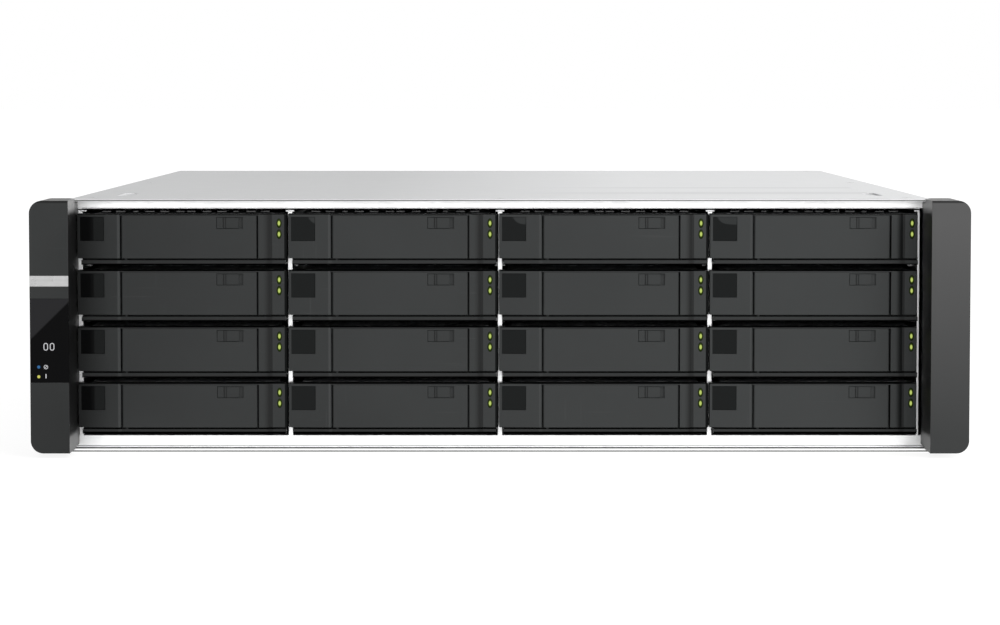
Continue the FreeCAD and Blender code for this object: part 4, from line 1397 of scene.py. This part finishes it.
ZINC = FoldedSteel("zinc_sheet", base=(0.965, 0.97, 0.97), bright=(0.985, 0.99, 0.99))
COVER_SHEET = CoverSheet(
    "cover_sheet", (0.7, 0.705, 0.71), (0.755, 0.76, 0.765), roughness=0.45, patches=40.0, metallic=0.0, specular=0.02
)
SUPPLY = SupplySteel("supply_sheet", base=(0.44, 0.445, 0.45), bright=(0.58, 0.585, 0.59))
SILVER = SheetSteel("badge_silver", grey(0.34), grey(0.42), roughness=0.3, patches=300.0)
EAR_PLASTIC = EarPlastic("ear_plastic_matte", roughness=0.48, edge=0.5)
TRAY_PLASTIC = TrayPlastic("tray_plastic_matte")
LEVER_PLASTIC = FrontPlastic("lever_plastic_matte")
LATCH_PLASTIC = LatchPlastic(
    "latch_plastic_matte", (0.0145, 0.0158, 0.0158), (0.0175, 0.0188, 0.0188), edge=0.2
)
# Painted shade: a much darker copy of the trays' plastic for the rounded sides beside the bays.
SHADED_SIDE_PLASTIC = MouldedPlastic(
    "tray_side_painted_shade", (0.004, 0.0043, 0.0043), (0.005, 0.0054, 0.0054), grey(0.008), specular=0.02, edge=0.1
)
FAN_PLASTIC = MouldedPlastic("fan_plastic_black", (0.011, 0.011, 0.012), (0.016, 0.016, 0.017), roughness=0.42)
TONGUE = MouldedPlastic("socket_tongue", (0.01, 0.03, 0.12), (0.014, 0.04, 0.15), roughness=0.4, edge=0.1)
# Painted shade: the dark strip on the cover's front edge stands in for the shade line of its rolled hem.
EDGE_SHADE_STRIP = MouldedPlastic("edge_shade_black", grey(0.012), grey(0.018), roughness=0.6, edge=0.1)
FOAM = MouldedPlastic("filter_foam", grey(0.006), grey(0.01), roughness=0.8, grain=900.0)
BOARD = CircuitBoard("boards")
# Painted reflections: a diagonal glare on the window, and a lighter sheen on the insets except the left part of those
# in the first column.
WINDOW = PolishedBlack("window_black", (0.002, 0.002, 0.0022), (0.015, 0.015, 0.016), (-0.7, 0.714), 212.15)
INSET = InsetBlack("inset_black", sheen=(0.0085, 0.0092, 0.0092), offset=-211.9)
LIME = LampLens("lamp_lime")
BLUE = LampLens("lamp_blue", (0.03, 0.135, 0.29), (0.008, 0.03, 0.08), (0.003, 0.008, 0.02), core_end=0.7)
YELLOW = LampLens("lamp_yellow", (0.61, 0.575, 0.135), (0.12, 0.12, 0.02), (0.02, 0.02, 0.005), core_end=0.7)
FRESH_INK, FADED_INK = (0.33, 0.33, 0.34), (0.231, 0.231, 0.238)
# The printed signs' ink glows: painted light that keeps the grey print showing on the black window.
INK = GlowingLayer(
    "sign_ink", (FADED_INK, FRESH_INK), (FRESH_INK, FADED_INK), 0.75, 900.0, (0.3, 0.7), share=0.35, roughness=0.4
)
SCREW = FastenerSteel("screw_plated")
DARK_SCREW = FastenerSteel("screw_black", grey(0.03), grey(0.004), metallic=0.0)
GOLD = ContactMetal("contact_gold")
NICKEL = ContactMetal("contact_nickel", (0.86, 0.86, 0.85), grey(0.74))
FINGER = ContactMetal("contact_finger", grey(0.2), grey(0.14))
LABEL = PaperLabel("blank_label")
PAPER = GlowingLayer("studio_paper", (grey(0.19), grey(0.21)), (grey(0.99), grey(1.0)), glow=0.88, scale=3.0)


def linked(name: str, data: bpy.types.ID) -> bpy.types.Object:
    """A new object in the scene, made of the given data."""
    made = bpy.data.objects.new(name, data)
    bpy.context.scene.collection.objects.link(made)
    return made


def add_piece(name: str, surfaces: list[Surface], finish: Finish, body: str = "chassis") -> None:
    """Makes one piece, dresses it and hangs it on a body.

    Args:
        name: The piece's name.
        surfaces: The skins that make it.
        finish: Its finish.
        body: The CAD body that it moves with.
    """
    piece = linked(name, build_mesh(name, surfaces))
    piece.data.materials.append(finish.material())
    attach(piece, body)
    LOG.info("%s: %d faces, on %s", name, len(piece.data.polygons), body)


def dress(node: str, finish: Finish) -> None:
    """Gives a CAD node its finish."""
    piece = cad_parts[node]
    if not piece.material_slots:
        piece.data.materials.append(None)
    for place in piece.material_slots:
        place.material = finish.material()
    LOG.info("%s: %s", node, finish.name)


@dataclass
class Case:
    """The sheet metal case, its boards and fans, and the fasteners on its outside.

    Sizes are in millimetres. The size of a screw or a stud is its radius and its height.
    """

    finishes: dict[str, Finish] = field(default_factory=lambda: {
        "chassis_base": ZINC,
        "drive_cage": ZINC,
        "top_cover": COVER_SHEET,
        "circuit_boards": BOARD,
        "fan_frames": FAN_PLASTIC,
        "fan_rotor_left": FAN_PLASTIC,
        "fan_rotor_right": FAN_PLASTIC,
    })
    half_width: float = 224.0
    height: float = 132.0
    back: float = 313.0
    cover_screws: tuple[Pair, ...] = (
        (-214, -288), (-214, 8), (-214, 300), (0, -296), (0, 300), (214, -288), (214, 8), (214, 300),
    )
    cover_screw_radius: float = 2.7
    fans: Pair = (17.5, 101.5)
    fan_height: float = 86.8
    fan_screw_offset: float = 35.75
    fan_screw_size: Pair = (3.0, 1.9)
    wall_screws: tuple[Pair, ...] = ((-140, 126.8), (-30, 126.8), (-30, 14), (186, 126.8), (-205, 14))
    wall_screw_size: Pair = (2.6, 1.5)
    thumb_places: Pair = (-213.0, 213.0)
    thumb_height: float = 121.5
    thumb_size: Pair = (4.6, 9.0)
    stud_places: tuple[float, ...] = (-232.0, -84.0, 112.0, 276.0)
    stud_height: float = 66.0
    stud_size: Pair = (4.2, 4.6)
    stud_profile: tuple[Pair, ...] = (
        (0.6, 0), (0.6, 0.55), (0.94, 0.58), (1.0, 0.66), (1.0, 0.92), (0.92, 1.0), (0.5, 1.0), (0.46, 0.86),
        (0.04, 0.86),
    )
    stud_sides: int = 32
    front: float = -309.0
    # Painted shade: the dark strip along the cover's front edge.
    edge_shade_half_width: float = 221.2
    edge_shade_height: Pair = (131.12, 131.54)
    edge_shade_bulge: float = 0.16
    band_front: float = -296.0
    band_half_width: float = 219.0
    band_lip: Pair = (126.42, 127.1)
    band_bulge: float = 0.25
    strip_rows: int = 25
    strip_columns: int = 7
    bead_places: tuple[Pair, ...] = ((-202.0, -119.5), (202.0, -119.5))
    bead_size: Pair = (7.0, 47.0)
    bead_corner: float = 2.4
    bead_depth: float = 0.8
    hook_spans: tuple[Pair, ...] = (
        (-219.5, -216.6), (-112.3, -107.7), (-2.3, 2.3), (107.7, 112.3), (217.0, 219.4),
    )
    hook_height: float = 125.35
    hook_size: float = 0.7
    lip_spans: tuple[Pair, ...] = (
        (-219.1, -216.8), (-112.7, -111.1), (-108.9, -107.3), (-2.7, -1.1),
        (1.1, 2.7), (107.3, 108.9), (111.1, 112.7), (216.7, 219.0),
    )
    lip_face: float = -270.0
    lip_heights: Point = (95.85, 66.35, 36.85)
    lip_size: float = 1.5
    lip_corner: float = 0.2
    lip_thickness: float = 0.3
    filter_face: float = 286.7
    filter_size: Pair = (78.0, 78.0)
    filter_corner: float = 4.0
    filter_thickness: float = 0.8

    def build(self) -> None:
        """Dresses the case and adds its strips, lips and fillings, its filters and its fasteners."""
        for node, finish in self.finishes.items():
            dress(node, finish)
        self.add_front_strips()
        self.add_cage_lips()
        self.add_bead_fills()
        self.add_fan_filters()
        self.add_cover_screws()
        self.add_back_screws()
        self.add_rail_studs()

    def add_front_strips(self) -> None:
        """A dark strip along the cover's front edge, put there as painted shade of its rolled hem, and the rolled lower
        lip of the cage's upper band.
        """
        # Painted shade: a dark strip on the cover's front edge.
        seal = self.strip(self.front, self.edge_shade_half_width, self.edge_shade_height, self.edge_shade_bulge)
        add_piece("cover_edge_shade", [seal], EDGE_SHADE_STRIP)
        lip = self.strip(self.band_front, self.band_half_width, self.band_lip, self.band_bulge)
        add_piece("cage_band_lip", [lip], ZINC)

    def strip(self, face: float, half_width: float, heights: Pair, bulge: float) -> Surface:
        """Half an oval section carried across the case.

        Args:
            face: Where the strip's flat back lies along Y.
            half_width: Half its length across the case.
            heights: Its lower and upper edge.
            bulge: How far its middle stands out.

        Returns:
            The strip's skin.
        """
        low, high = heights
        turn = np.linspace(-math.pi / 2, math.pi / 2, self.strip_columns)
        rise = (low + high) / 2 + (high - low) / 2 * np.sin(turn)
        section = np.stack([rise, bulge * np.cos(turn)], axis=1)
        across = np.linspace(-half_width, half_width, self.strip_rows)
        path = np.stack([across, np.zeros(self.strip_rows)], axis=1)
        return Surface(Placement.on(Side.FRONT, (0, face, 0)).points(swept(path, section, False)))

    def add_cage_lips(self) -> None:
        """The hooks at the heads of the cage's uprights, and the bent front ends of the runners between the rows."""
        hooks = [self.lip(span, self.band_front, self.hook_height, self.hook_size) for span in self.hook_spans]
        add_piece("cage_hooks", hooks, ZINC)
        spots = [(span, height) for span in self.lip_spans for height in self.lip_heights]
        lips = [self.lip(span, self.lip_face, height, self.lip_size) for span, height in spots]
        add_piece("runner_lips", lips, ZINC)

    def lip(self, span: Pair, face: float, middle: float, size: float) -> Surface:
        """A small rounded plate that looks to the front, from its ends across, its place along Y and its height."""
        left, right = span
        spot = Placement.on(Side.FRONT, ((left + right) / 2, face, middle))
        return plate(spot, (right - left, size), self.lip_corner, self.lip_thickness)

    def add_bead_fills(self) -> None:
        """Flat fillings of the cover's two rear beads, level with the sheet: a cut-cornered outline raised straight."""
        outline = Outline.rounded(*self.bead_size, self.bead_corner, 2)
        profile = [(self.bead_corner, 0), (self.bead_corner, self.bead_depth + FLUSH)]
        spots = [Placement.on(Side.TOP, (x, y, self.height - self.bead_depth)) for x, y in self.bead_places]
        fills = [Surface(spot.points(outline.raised(profile))) for spot in spots]
        add_piece("cover_bead_fills", fills, COVER_SHEET)

    def add_fan_filters(self) -> None:
        """A thin dark filter pad on the inner face of each fan."""
        spots = [Placement.on(Side.FRONT, (x, self.filter_face, self.fan_height)) for x in self.fans]
        pads = [plate(spot, self.filter_size, self.filter_corner, self.filter_thickness) for spot in spots]
        add_piece("fan_filters", pads, FOAM)

    def add_cover_screws(self) -> None:
        """Countersunk screws along the cover's edges."""
        spots = [Placement.on(Side.TOP, (x, y, self.height)) for x, y in self.cover_screws]
        heads = [flush_screw(spot, self.cover_screw_radius) for spot in spots]
        add_piece("cover_screws", heads, SCREW)

    def add_back_screws(self) -> None:
        """The fan screws, the rear wall's screws and two captive thumb screws."""
        offsets = (-self.fan_screw_offset, self.fan_screw_offset)
        corners = [(x + dx, self.fan_height + dz) for x in self.fans for dx in offsets for dz in offsets]
        thumbs = [(x, self.thumb_height) for x in self.thumb_places]
        for name, kind, size, spots in (
            ("fan_screws", screw_head, self.fan_screw_size, corners),
            ("rear_wall_screws", screw_head, self.wall_screw_size, self.wall_screws),
            ("thumb_screws", thumb_screw, self.thumb_size, thumbs),
        ):
            heads = [kind(Placement.on(Side.BACK, (x, self.back, z)), *size) for x, z in spots]
            add_piece(name, heads, SCREW)

    def add_rail_studs(self) -> None:
        """Shouldered studs on both sides, on which the rack's slide rails hook."""
        shares, rises = np.array(self.stud_profile).T
        radius, length = self.stud_size
        around = np.repeat(shares[:, None], self.stud_sides, axis=1)
        spots = [
            Placement.on(side, (x, y, self.stud_height))
            for side, x in ((Side.LEFT, -self.half_width), (Side.RIGHT, self.half_width))
            for y in self.stud_places
        ]
        studs = [turned(spot, radius, around, length * rises) for spot in spots]
        add_piece("rail_studs", studs, SCREW)


@dataclass
class EarPair:
    """The two ear covers with the badge plate, the display window and what shows in it.

    Sizes are in millimetres.
    """

    finishes: dict[str, Finish] = field(default_factory=lambda: {
        "left_ear_cover": EAR_PLASTIC,
        "right_ear_cover": EAR_PLASTIC,
        "display_window": WINDOW,
    })
    front: float = -337.0
    window_face: float = -336.8
    badge_middle: Pair = (-231.3, 90.75)
    badge_size: Pair = (19.9, 5.6)
    badge_corner: float = 0.3
    badge_seat: float = 0.4
    badge_thickness: float = 0.38
    digit_middles: Pair = (-233.2, -229.95)
    digit_height: float = 57.05
    digit_size: Pair = (1.9, 3.45)
    digit_corner: float = 0.9
    digit_stroke: float = 0.42
    lamp_x: float = -236.9
    lamp_radius: float = 0.95
    lamp_rise: float = 0.12
    blue_z: float = 46.6
    yellow_z: float = 41.6
    sign_x: float = -233.2
    sign_stroke: float = 0.3
    ring_radius: float = 0.95
    ring_sides: int = 28
    slash_half: float = 0.69825
    bar_z: float = 41.9
    bar_half: float = 1.1
    bar_stroke: float = 0.5
    line_points: int = 5
    print_thickness: float = 0.06
    top: float = 132.0
    top_screw_x: tuple[float, ...] = (-233.4, -226.6, 226.6, 233.4)
    top_screw_y: float = -322.0
    top_screw_radius: float = 1.3

    def build(self) -> None:
        """Dresses the covers and the window and adds their small pieces."""
        for node, finish in self.finishes.items():
            dress(node, finish)
        self.add_badge()
        self.add_digits()
        self.add_lamps()
        self.add_signs()
        self.add_top_screws()

    def on_window(self, x: float, z: float) -> Placement:
        """A spot on the window's face."""
        return Placement.on(Side.FRONT, (x, self.window_face, z))

    def printed(self, spot: Placement, path: Array, width: float, closed: bool = False) -> Surface:
        """A printed line: a thin flat section carried along a path of (across, up) points."""
        return ribbon(spot, path, width, (0, self.print_thickness), closed)

    def add_badge(self) -> None:
        """The bare silver plate in its seat across the left ear."""
        x, z = self.badge_middle
        spot = Placement.on(Side.FRONT, (x, self.front + self.badge_seat, z))
        badge = plate(spot, self.badge_size, self.badge_corner, self.badge_thickness)
        add_piece("badge_plate", [badge], SILVER)

    def add_digits(self) -> None:
        """Two zeros: a flat line carried round a rounded rectangle."""
        outline = Outline.rounded(*self.digit_size, self.digit_corner, 6)
        path = outline.raised([(self.digit_corner, 0)])[0, :, :2]
        spots = [self.on_window(x, self.digit_height) for x in self.digit_middles]
        zeros = [self.printed(spot, path, self.digit_stroke, True) for spot in spots]
        add_piece("window_digits", zeros, INK)

    def add_lamps(self) -> None:
        """The blue and the yellow lamp."""
        for name, z, finish in (("blue", self.blue_z, BLUE), ("yellow", self.yellow_z, YELLOW)):
            lens = dome(self.on_window(self.lamp_x, z), self.lamp_radius, self.lamp_radius, self.lamp_rise)
            add_piece(f"window_lamp_{name}", [lens], finish)

    def add_signs(self) -> None:
        """A crossed ring beside the blue lamp and an upright bar beside the yellow one."""
        ring = Outline.oval(self.ring_radius, self.ring_radius, self.ring_sides).spokes
        along = np.linspace(-1, 1, self.line_points)[:, None]
        spot = self.on_window(self.sign_x, self.blue_z)
        crossed = [
            self.printed(spot, ring, self.sign_stroke, True),
            self.printed(spot, along * (self.slash_half, self.slash_half), self.sign_stroke),
        ]
        add_piece("window_sign_ring", crossed, INK)
        spot = self.on_window(self.sign_x, self.bar_z)
        bar = self.printed(spot, along * (0, self.bar_half), self.bar_stroke)
        add_piece("window_sign_bar", [bar], INK)

    def add_top_screws(self) -> None:
        """Small black screws sunk in the covers' upper faces."""
        spots = [Placement.on(Side.TOP, (x, self.top_screw_y, self.top)) for x in self.top_screw_x]
        heads = [flush_screw(spot, self.top_screw_radius) for spot in spots]
        add_piece("ear_top_screws", heads, DARK_SCREW)


@dataclass
class DriveBay:
    """One drive bay: tray, lever and latch, with the inset, the lamps and the disk's trim.

    Sizes are in millimetres, from the bay's left edge, the tray's face and the tray's top.

    Attributes:
        row: The bay's row, from 1 at the top.
        column: The bay's column, from 1 at the left.
    """

    row: int
    column: int
    first_top: float = 124.2
    face: float = -307.0
    inset_middle: Pair = (7.05, -7.9)
    inset_back: float = 1.503
    inset_size: Pair = (12.9, 12.4)
    inset_corner: float = 0.35
    inset_thickness: float = 0.5
    wing_lean: float = 1.4 / 21.55
    lamp_x: float = 104.8
    lamp_drops: Pair = (-4.9, -10.6)
    lamp_face: float = 1.2
    lamp_half: Pair = (1.35, 2.5)
    lamp_rise: float = 0.3
    side_x: Pair = (107.45, 109.15)
    side_y: Pair = (1.25, 5.0)
    side_round: float = 2.2
    side_z: Pair = (-23.2, -0.4)
    last_sided: int = 3
    disk_x: Pair = (5.8, 104.2)
    disk_y: Pair = (14.2, 158.0)
    disk_top: float = -0.2
    lid_screw_inset: float = 4.0
    lid_screw_size: Pair = (1.9, 0.14)
    lid_screw_sides: int = 12
    label_size: Pair = (78.0, 62.0)
    label_corner: float = 1.5
    label_thickness: float = 0.06

    @property
    def name(self) -> str:
        """The bay's short name."""
        return f"r{self.row}c{self.column}"

    @property
    def corner(self) -> Point:
        """The bay's left edge, the tray's face and the tray's top."""
        left = FIRST_LEFT + (self.column - 1) * BAY_PITCH[0]
        return left, self.face, self.first_top - (self.row - 1) * BAY_PITCH[1]

    def spot(self, side: Side, x: float, y: float, z: float) -> Placement:
        """A spot in the bay that faces the way one side of the case does."""
        left, face, top = self.corner
        return Placement.on(side, (left + x, face + y, top + z))

    def add(self, kind: str, surfaces: list[Surface], finish: Finish, slot: Slot = Slot.TRAY) -> None:
        """Adds a piece that moves with the tray."""
        add_piece(f"{kind}_{self.name}", surfaces, finish, f"tray_{self.name}")

    def build(self) -> None:
        """Dresses the bay's nodes and adds its small pieces, which all move with the tray."""
        dress(f"tray_{self.name}", TRAY_PLASTIC)
        dress(f"lever_{self.name}", LEVER_PLASTIC)
        dress(f"latch_{self.name}", LATCH_PLASTIC)
        self.add_inset()
        self.add_lamps()
        if self.column <= self.last_sided:
            self.add_side()
        self.add_disk_trim()

    def add_side(self) -> None:
        """The rounded side that the face rolls over into, dark with painted shade: a quarter of an oval carried up the
        tray.
        """
        low, high = self.side_x
        near, far = self.side_y
        turn = np.linspace(0, math.pi / 2, 6)
        x = np.concatenate([low + (high - low) * np.sin(turn), [high, low]])
        y = np.concatenate([near + self.side_round * (1 - np.cos(turn)), [far, far]])
        z = np.linspace(*self.side_z, 4)
        grid = np.stack(np.broadcast_arrays(x[None, :], y[None, :], z[:, None]), axis=2)
        self.add("side", [Surface(self.spot(Side.TOP, 0, 0, 0).points(grid))], SHADED_SIDE_PLASTIC)

    def add_inset(self) -> None:
        """The polished square in the left wing, parallel to the wing's leaning face."""
        lean = math.atan(self.wing_lean)
        across = (math.cos(lean), -math.sin(lean), 0.0)
        out = (-math.sin(lean), -math.cos(lean), 0.0)
        x, z = self.inset_middle
        level = self.spot(Side.FRONT, x, self.inset_back, z)
        leaning = Placement(level.origin, (across, (0, 0, 1), out))
        square = plate(leaning, self.inset_size, self.inset_corner, self.inset_thickness)
        self.add("inset", [square], INSET, Slot.WINDOW)

    def add_lamps(self) -> None:
        """Two oval lenses over the ends of the light pipes."""
        spots = [self.spot(Side.FRONT, self.lamp_x, self.lamp_face, drop) for drop in self.lamp_drops]
        self.add("lamps", [dome(spot, *self.lamp_half, self.lamp_rise) for spot in spots], LIME)

    def add_disk_trim(self) -> None:
        """Six screws on the disk's lid and a blank label between them."""
        low, high = (edge + sign * self.lid_screw_inset for edge, sign in zip(self.disk_x, (1, -1)))
        front, back = (edge + sign * self.lid_screw_inset for edge, sign in zip(self.disk_y, (1, -1)))
        middle = (front + back) / 2
        spots = [self.spot(Side.TOP, x, y, self.disk_top) for x in (low, high) for y in (front, middle, back)]
        self.add("disk_screws", [screw_head(spot, *self.lid_screw_size, self.lid_screw_sides) for spot in spots], SCREW)
        spot = self.spot(Side.TOP, sum(self.disk_x) / 2, middle, self.disk_top)
        self.add("disk_label", [plate(spot, self.label_size, self.label_corner, self.label_thickness)], LABEL)


@dataclass
class ContactFingers:
    """Spring fingers under the cage's upper plate, which touch the top trays.

    Sizes are in millimetres, across from the middle of each bay.
    """

    bay_middles: tuple[float, ...] = (-165.0, -55.0, 55.0, 165.0)
    spans: tuple[Pair, ...] = ((0.6, 5.0), (8.8, 13.3), (16.5, 21.3), (25.0, 27.6), (31.9, 36.7), (39.3, 44.1))
    start: float = -291.0
    length: float = 10.0
    steps: int = 9
    roof: float = 126.9
    dip: float = 1.75
    thickness: float = 0.5

    def build(self) -> None:
        """Each finger is a flat section carried along half a cosine wave, from its low front tip up to the plate."""
        step = np.linspace(0, 1, self.steps)
        fall = -self.thickness / 2 - self.dip * (1 + np.cos(math.pi * step)) / 2
        path = np.stack([self.start + self.length * step, self.roof + fall], axis=1)
        spot = Placement.on(Side.RIGHT, (0, 0, 0))
        ends = [
            (middle + sign * low, middle + sign * high)
            for middle in self.bay_middles
            for low, high in self.spans
            for sign in (-1, 1)
        ]
        fingers = [ribbon(spot, path, self.thickness, tuple(sorted(pair))) for pair in ends]
        add_piece("contact_fingers", fingers, FINGER)


@dataclass
class PowerSupply:
    """One slide-in supply with its inlet blades, status lamp and screws.

    Sizes are in millimetres; heights are those of the lower supply, raised by lift for the upper one. The size of
    the screws is their radius and height. The taper is how far the tip has drawn in, and how far before its end.

    Attributes:
        name: The supply's node and body.
        lift: How far this supply stands above the lower one.
    """

    name: str
    lift: float
    back: float = 313.0
    inlet: Pair = (170.1, 27.75)
    inlet_floor: float = 296.0
    blades: tuple[Pair, ...] = ((0.0, -2.0), (-7.0, 2.0), (7.0, 2.0))
    blade_size: Pair = (2.0, 4.0)
    blade_corner: float = 0.5
    blade_length: float = 14.0
    blade_taper: tuple[Pair, ...] = ((0.0, 1.2), (0.2, 0.5), (0.42, 0.0))
    lamp: Pair = (192.0, 33.5)
    lamp_radius: float = 1.5
    lamp_rise: float = 0.5
    screws: tuple[Pair, ...] = ((152.3, 38.2), (219.6, 5.0))
    screw_size: Pair = (1.8, 1.0)

    def build(self) -> None:
        """Dresses the supply and adds its small pieces."""
        dress(self.name, SUPPLY)
        self.add_blades()
        lens = dome(self.at_back(*self.lamp), self.lamp_radius, self.lamp_radius, self.lamp_rise)
        self.add("lamp", [lens], LIME)
        self.add("screws", [screw_head(self.at_back(*spot), *self.screw_size) for spot in self.screws], SCREW)

    def add(self, kind: str, surfaces: list[Surface], finish: Finish) -> None:
        """Adds a piece that moves with the supply."""
        add_piece(f"{self.name}_{kind}", surfaces, finish, self.name)

    def at_back(self, x: float, z: float) -> Placement:
        """A spot on the supply's rear face."""
        return Placement.on(Side.BACK, (x, self.back, z + self.lift))

    def add_blades(self) -> None:
        """The inlet's three flat blades."""
        x, z = self.inlet
        spots = [Placement.on(Side.BACK, (x + dx, self.inlet_floor, z + dz + self.lift)) for dx, dz in self.blades]
        shape = (self.blade_size, self.blade_corner, self.blade_length, self.blade_taper)
        self.add("blades", [blunt_bar(spot, *shape) for spot in spots], NICKEL)


@dataclass
class PortRow:
    """What shows inside the network jacks and the USB sockets.

    Sizes are in millimetres. The taper is how far the tip has drawn in, and how far before its end.
    """

    first_jack: float = 72.15
    jack_pitch: float = 15.6
    jack_width: float = 11.9
    jack_count: int = 4
    wire_pitch: float = 1.02
    wire_count: int = 8
    wire_size: Pair = (0.46, 0.3)
    wire_path: tuple[Pair, ...] = (
        (300.1, 12.0), (301.5, 12.1), (303.0, 12.6), (305.0, 13.6), (307.5, 14.9), (309.0, 15.4), (309.8, 15.2),
    )
    usb_middle: float = 41.8
    usb_heights: Pair = (14.07, 21.53)
    tongue_size: Pair = (11.3, 1.8)
    tongue_corner: float = 0.3
    tongue_rise: float = 1.0
    tongue_back: float = 300.0
    tongue_length: float = 9.5
    tongue_taper: tuple[Pair, ...] = ((0.0, 0.4), (0.25, 0.0))

    def build(self) -> None:
        """Adds the jacks' wires and the sockets' tongues."""
        self.add_wires()
        self.add_tongues()

    def add_wires(self) -> None:
        """Eight spring wires in each jack: a flat section carried along a bent path."""
        path = np.array(self.wire_path)
        width, depth = self.wire_size
        spot = Placement.on(Side.RIGHT, (0, 0, 0))
        wires = []
        for jack in range(self.jack_count):
            middle = self.first_jack + jack * self.jack_pitch + self.jack_width / 2
            for wire in range(self.wire_count):
                x = middle + (wire - (self.wire_count - 1) / 2) * self.wire_pitch
                wires.append(ribbon(spot, path, depth, (x - width / 2, x + width / 2)))
        add_piece("jack_wires", wires, GOLD)

    def add_tongues(self) -> None:
        """The tongue of each USB socket."""
        heights = [z + self.tongue_rise for z in self.usb_heights]
        spots = [Placement.on(Side.BACK, (self.usb_middle, self.tongue_back, height)) for height in heights]
        shape = (self.tongue_size, self.tongue_corner, self.tongue_length, self.tongue_taper)
        add_piece("usb_tongues", [blunt_bar(spot, *shape) for spot in spots], TONGUE)


@dataclass(frozen=True)
class SoftBox:
    """A rectangular studio light.

    Attributes:
        name: The light's name.
        place: Where it stands, in metres.
        aim: The point that it faces, in metres.
        size: Width and height, in metres.
        power: Its power in watts.
    """

    name: str
    place: Point
    aim: Point
    size: Pair
    power: float

    def build(self) -> None:
        """Adds the light and turns it to its aim."""
        lamp = bpy.data.lights.new(self.name, "AREA")
        lamp.shape = "RECTANGLE"
        lamp.size, lamp.size_y = self.size
        lamp.energy = self.power
        holder = linked(self.name, lamp)
        toward = np.array(self.aim) - np.array(self.place)
        flat = math.hypot(toward[0], toward[1])
        holder.location = self.place
        holder.rotation_euler = (math.pi / 2 + math.atan2(toward[2], flat), 0, math.atan2(-toward[0], toward[1]))


@dataclass
class Studio:
    """Pale floor, white surroundings, soft lights and the camera. Sizes are in metres, angles in degrees."""

    floor_half: float = 30.0
    floor_height: float = -0.0006
    floor_lines: int = 9
    white: float = 1.0
    fill: float = 0.56
    fill_slope: Point = (0.7, 0.17, 0.0)
    fill_least: float = 0.04
    front_fill: float = 2.1
    camera_place: Point = (0.0, -2.098, 0.189)
    camera_tilt: float = 90.0 - 3.714
    lens: float = 123.84
    sensor_width: float = 36.0
    lights: tuple[SoftBox, ...] = (
        SoftBox("front_right", (1.5, -2.2, 1.3), (0.05, -0.3, 0.06), (1.4, 1.4), 28.0),
        SoftBox("right_back", (2.4, 1.6, 0.9), (0.1, 0.1, 0.1), (1.6, 1.2), 30.0),
    )

    def build(self) -> None:
        """Builds the set."""
        bpy.context.scene.view_settings.view_transform = "Standard"
        self.add_surroundings()
        self.add_floor()
        for light in self.lights:
            light.build()
        self.add_camera()

    def add_surroundings(self) -> None:
        """White for the camera; for the object a sloping fill, plus a soft lobe of light from the front.

        The fill grows evenly along the slope. The lobe grows as the square of how far a direction points forward.
        """
        world = bpy.data.worlds.new("studio")
        world.use_nodes = True
        world.node_tree.nodes.clear()
        graph = Graph(world.node_tree)
        direction = graph.node("ShaderNodeTexCoord").outputs["Generated"]
        slope = graph.vector("DOT_PRODUCT", direction, self.fill_slope).outputs["Value"]
        lit = graph.most(graph.math("ADD", slope, self.fill), self.fill_least)
        forward = graph.math("MINIMUM", graph.split(direction)[1], 0.0)
        lit = graph.math("MULTIPLY_ADD", graph.times(forward, forward), self.front_fill, lit)
        seen = graph.node("ShaderNodeLightPath").outputs["Is Camera Ray"]
        strength = graph.math("MULTIPLY_ADD", seen, graph.math("SUBTRACT", self.white, lit), lit)
        back = graph.node("ShaderNodeBackground", {"Color": grey(1.0), "Strength": strength})
        graph.node("ShaderNodeOutputWorld", {"Surface": back.outputs[0]})
        bpy.context.scene.world = world

    def add_floor(self) -> None:
        """A wide flat sheet: a grid of (x, y) at one height."""
        line = np.linspace(-self.floor_half, self.floor_half, self.floor_lines)
        x, y = np.meshgrid(line, line)
        points = np.stack([x, y, np.full(x.shape, self.floor_height)], axis=2).reshape(-1, 3)
        mesh = bpy.data.meshes.new("floor")
        mesh.from_pydata(points, [], quads(np.arange(x.size).reshape(x.shape)))
        floor = linked("floor", mesh)
        floor.data.materials.append(PAPER.material())

    def add_camera(self) -> None:
        """The camera at the photograph's viewing angle."""
        data = bpy.data.cameras.new("camera")
        data.lens = self.lens
        data.sensor_width = self.sensor_width
        camera = linked("camera", data)
        camera.location = self.camera_place
        camera.rotation_euler = (math.radians(self.camera_tilt), 0, 0)
        bpy.context.scene.camera = camera


def main() -> None:
    """Builds every sub-assembly in order."""
    logging.basicConfig(level=logging.INFO, format="%(message)s")
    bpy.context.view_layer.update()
    Studio().build()
    Case().build()
    EarPair().build()
    for row in range(1, BAY_ROWS + 1):
        for column in range(1, BAY_COLUMNS + 1):
            DriveBay(row, column).build()
    ContactFingers().build()
    PowerSupply("power_supply_lower", 0.0).build()
    PowerSupply("power_supply_upper", SUPPLY_PITCH).build()
    PortRow().build()


if __name__ == "__main__":
    main()
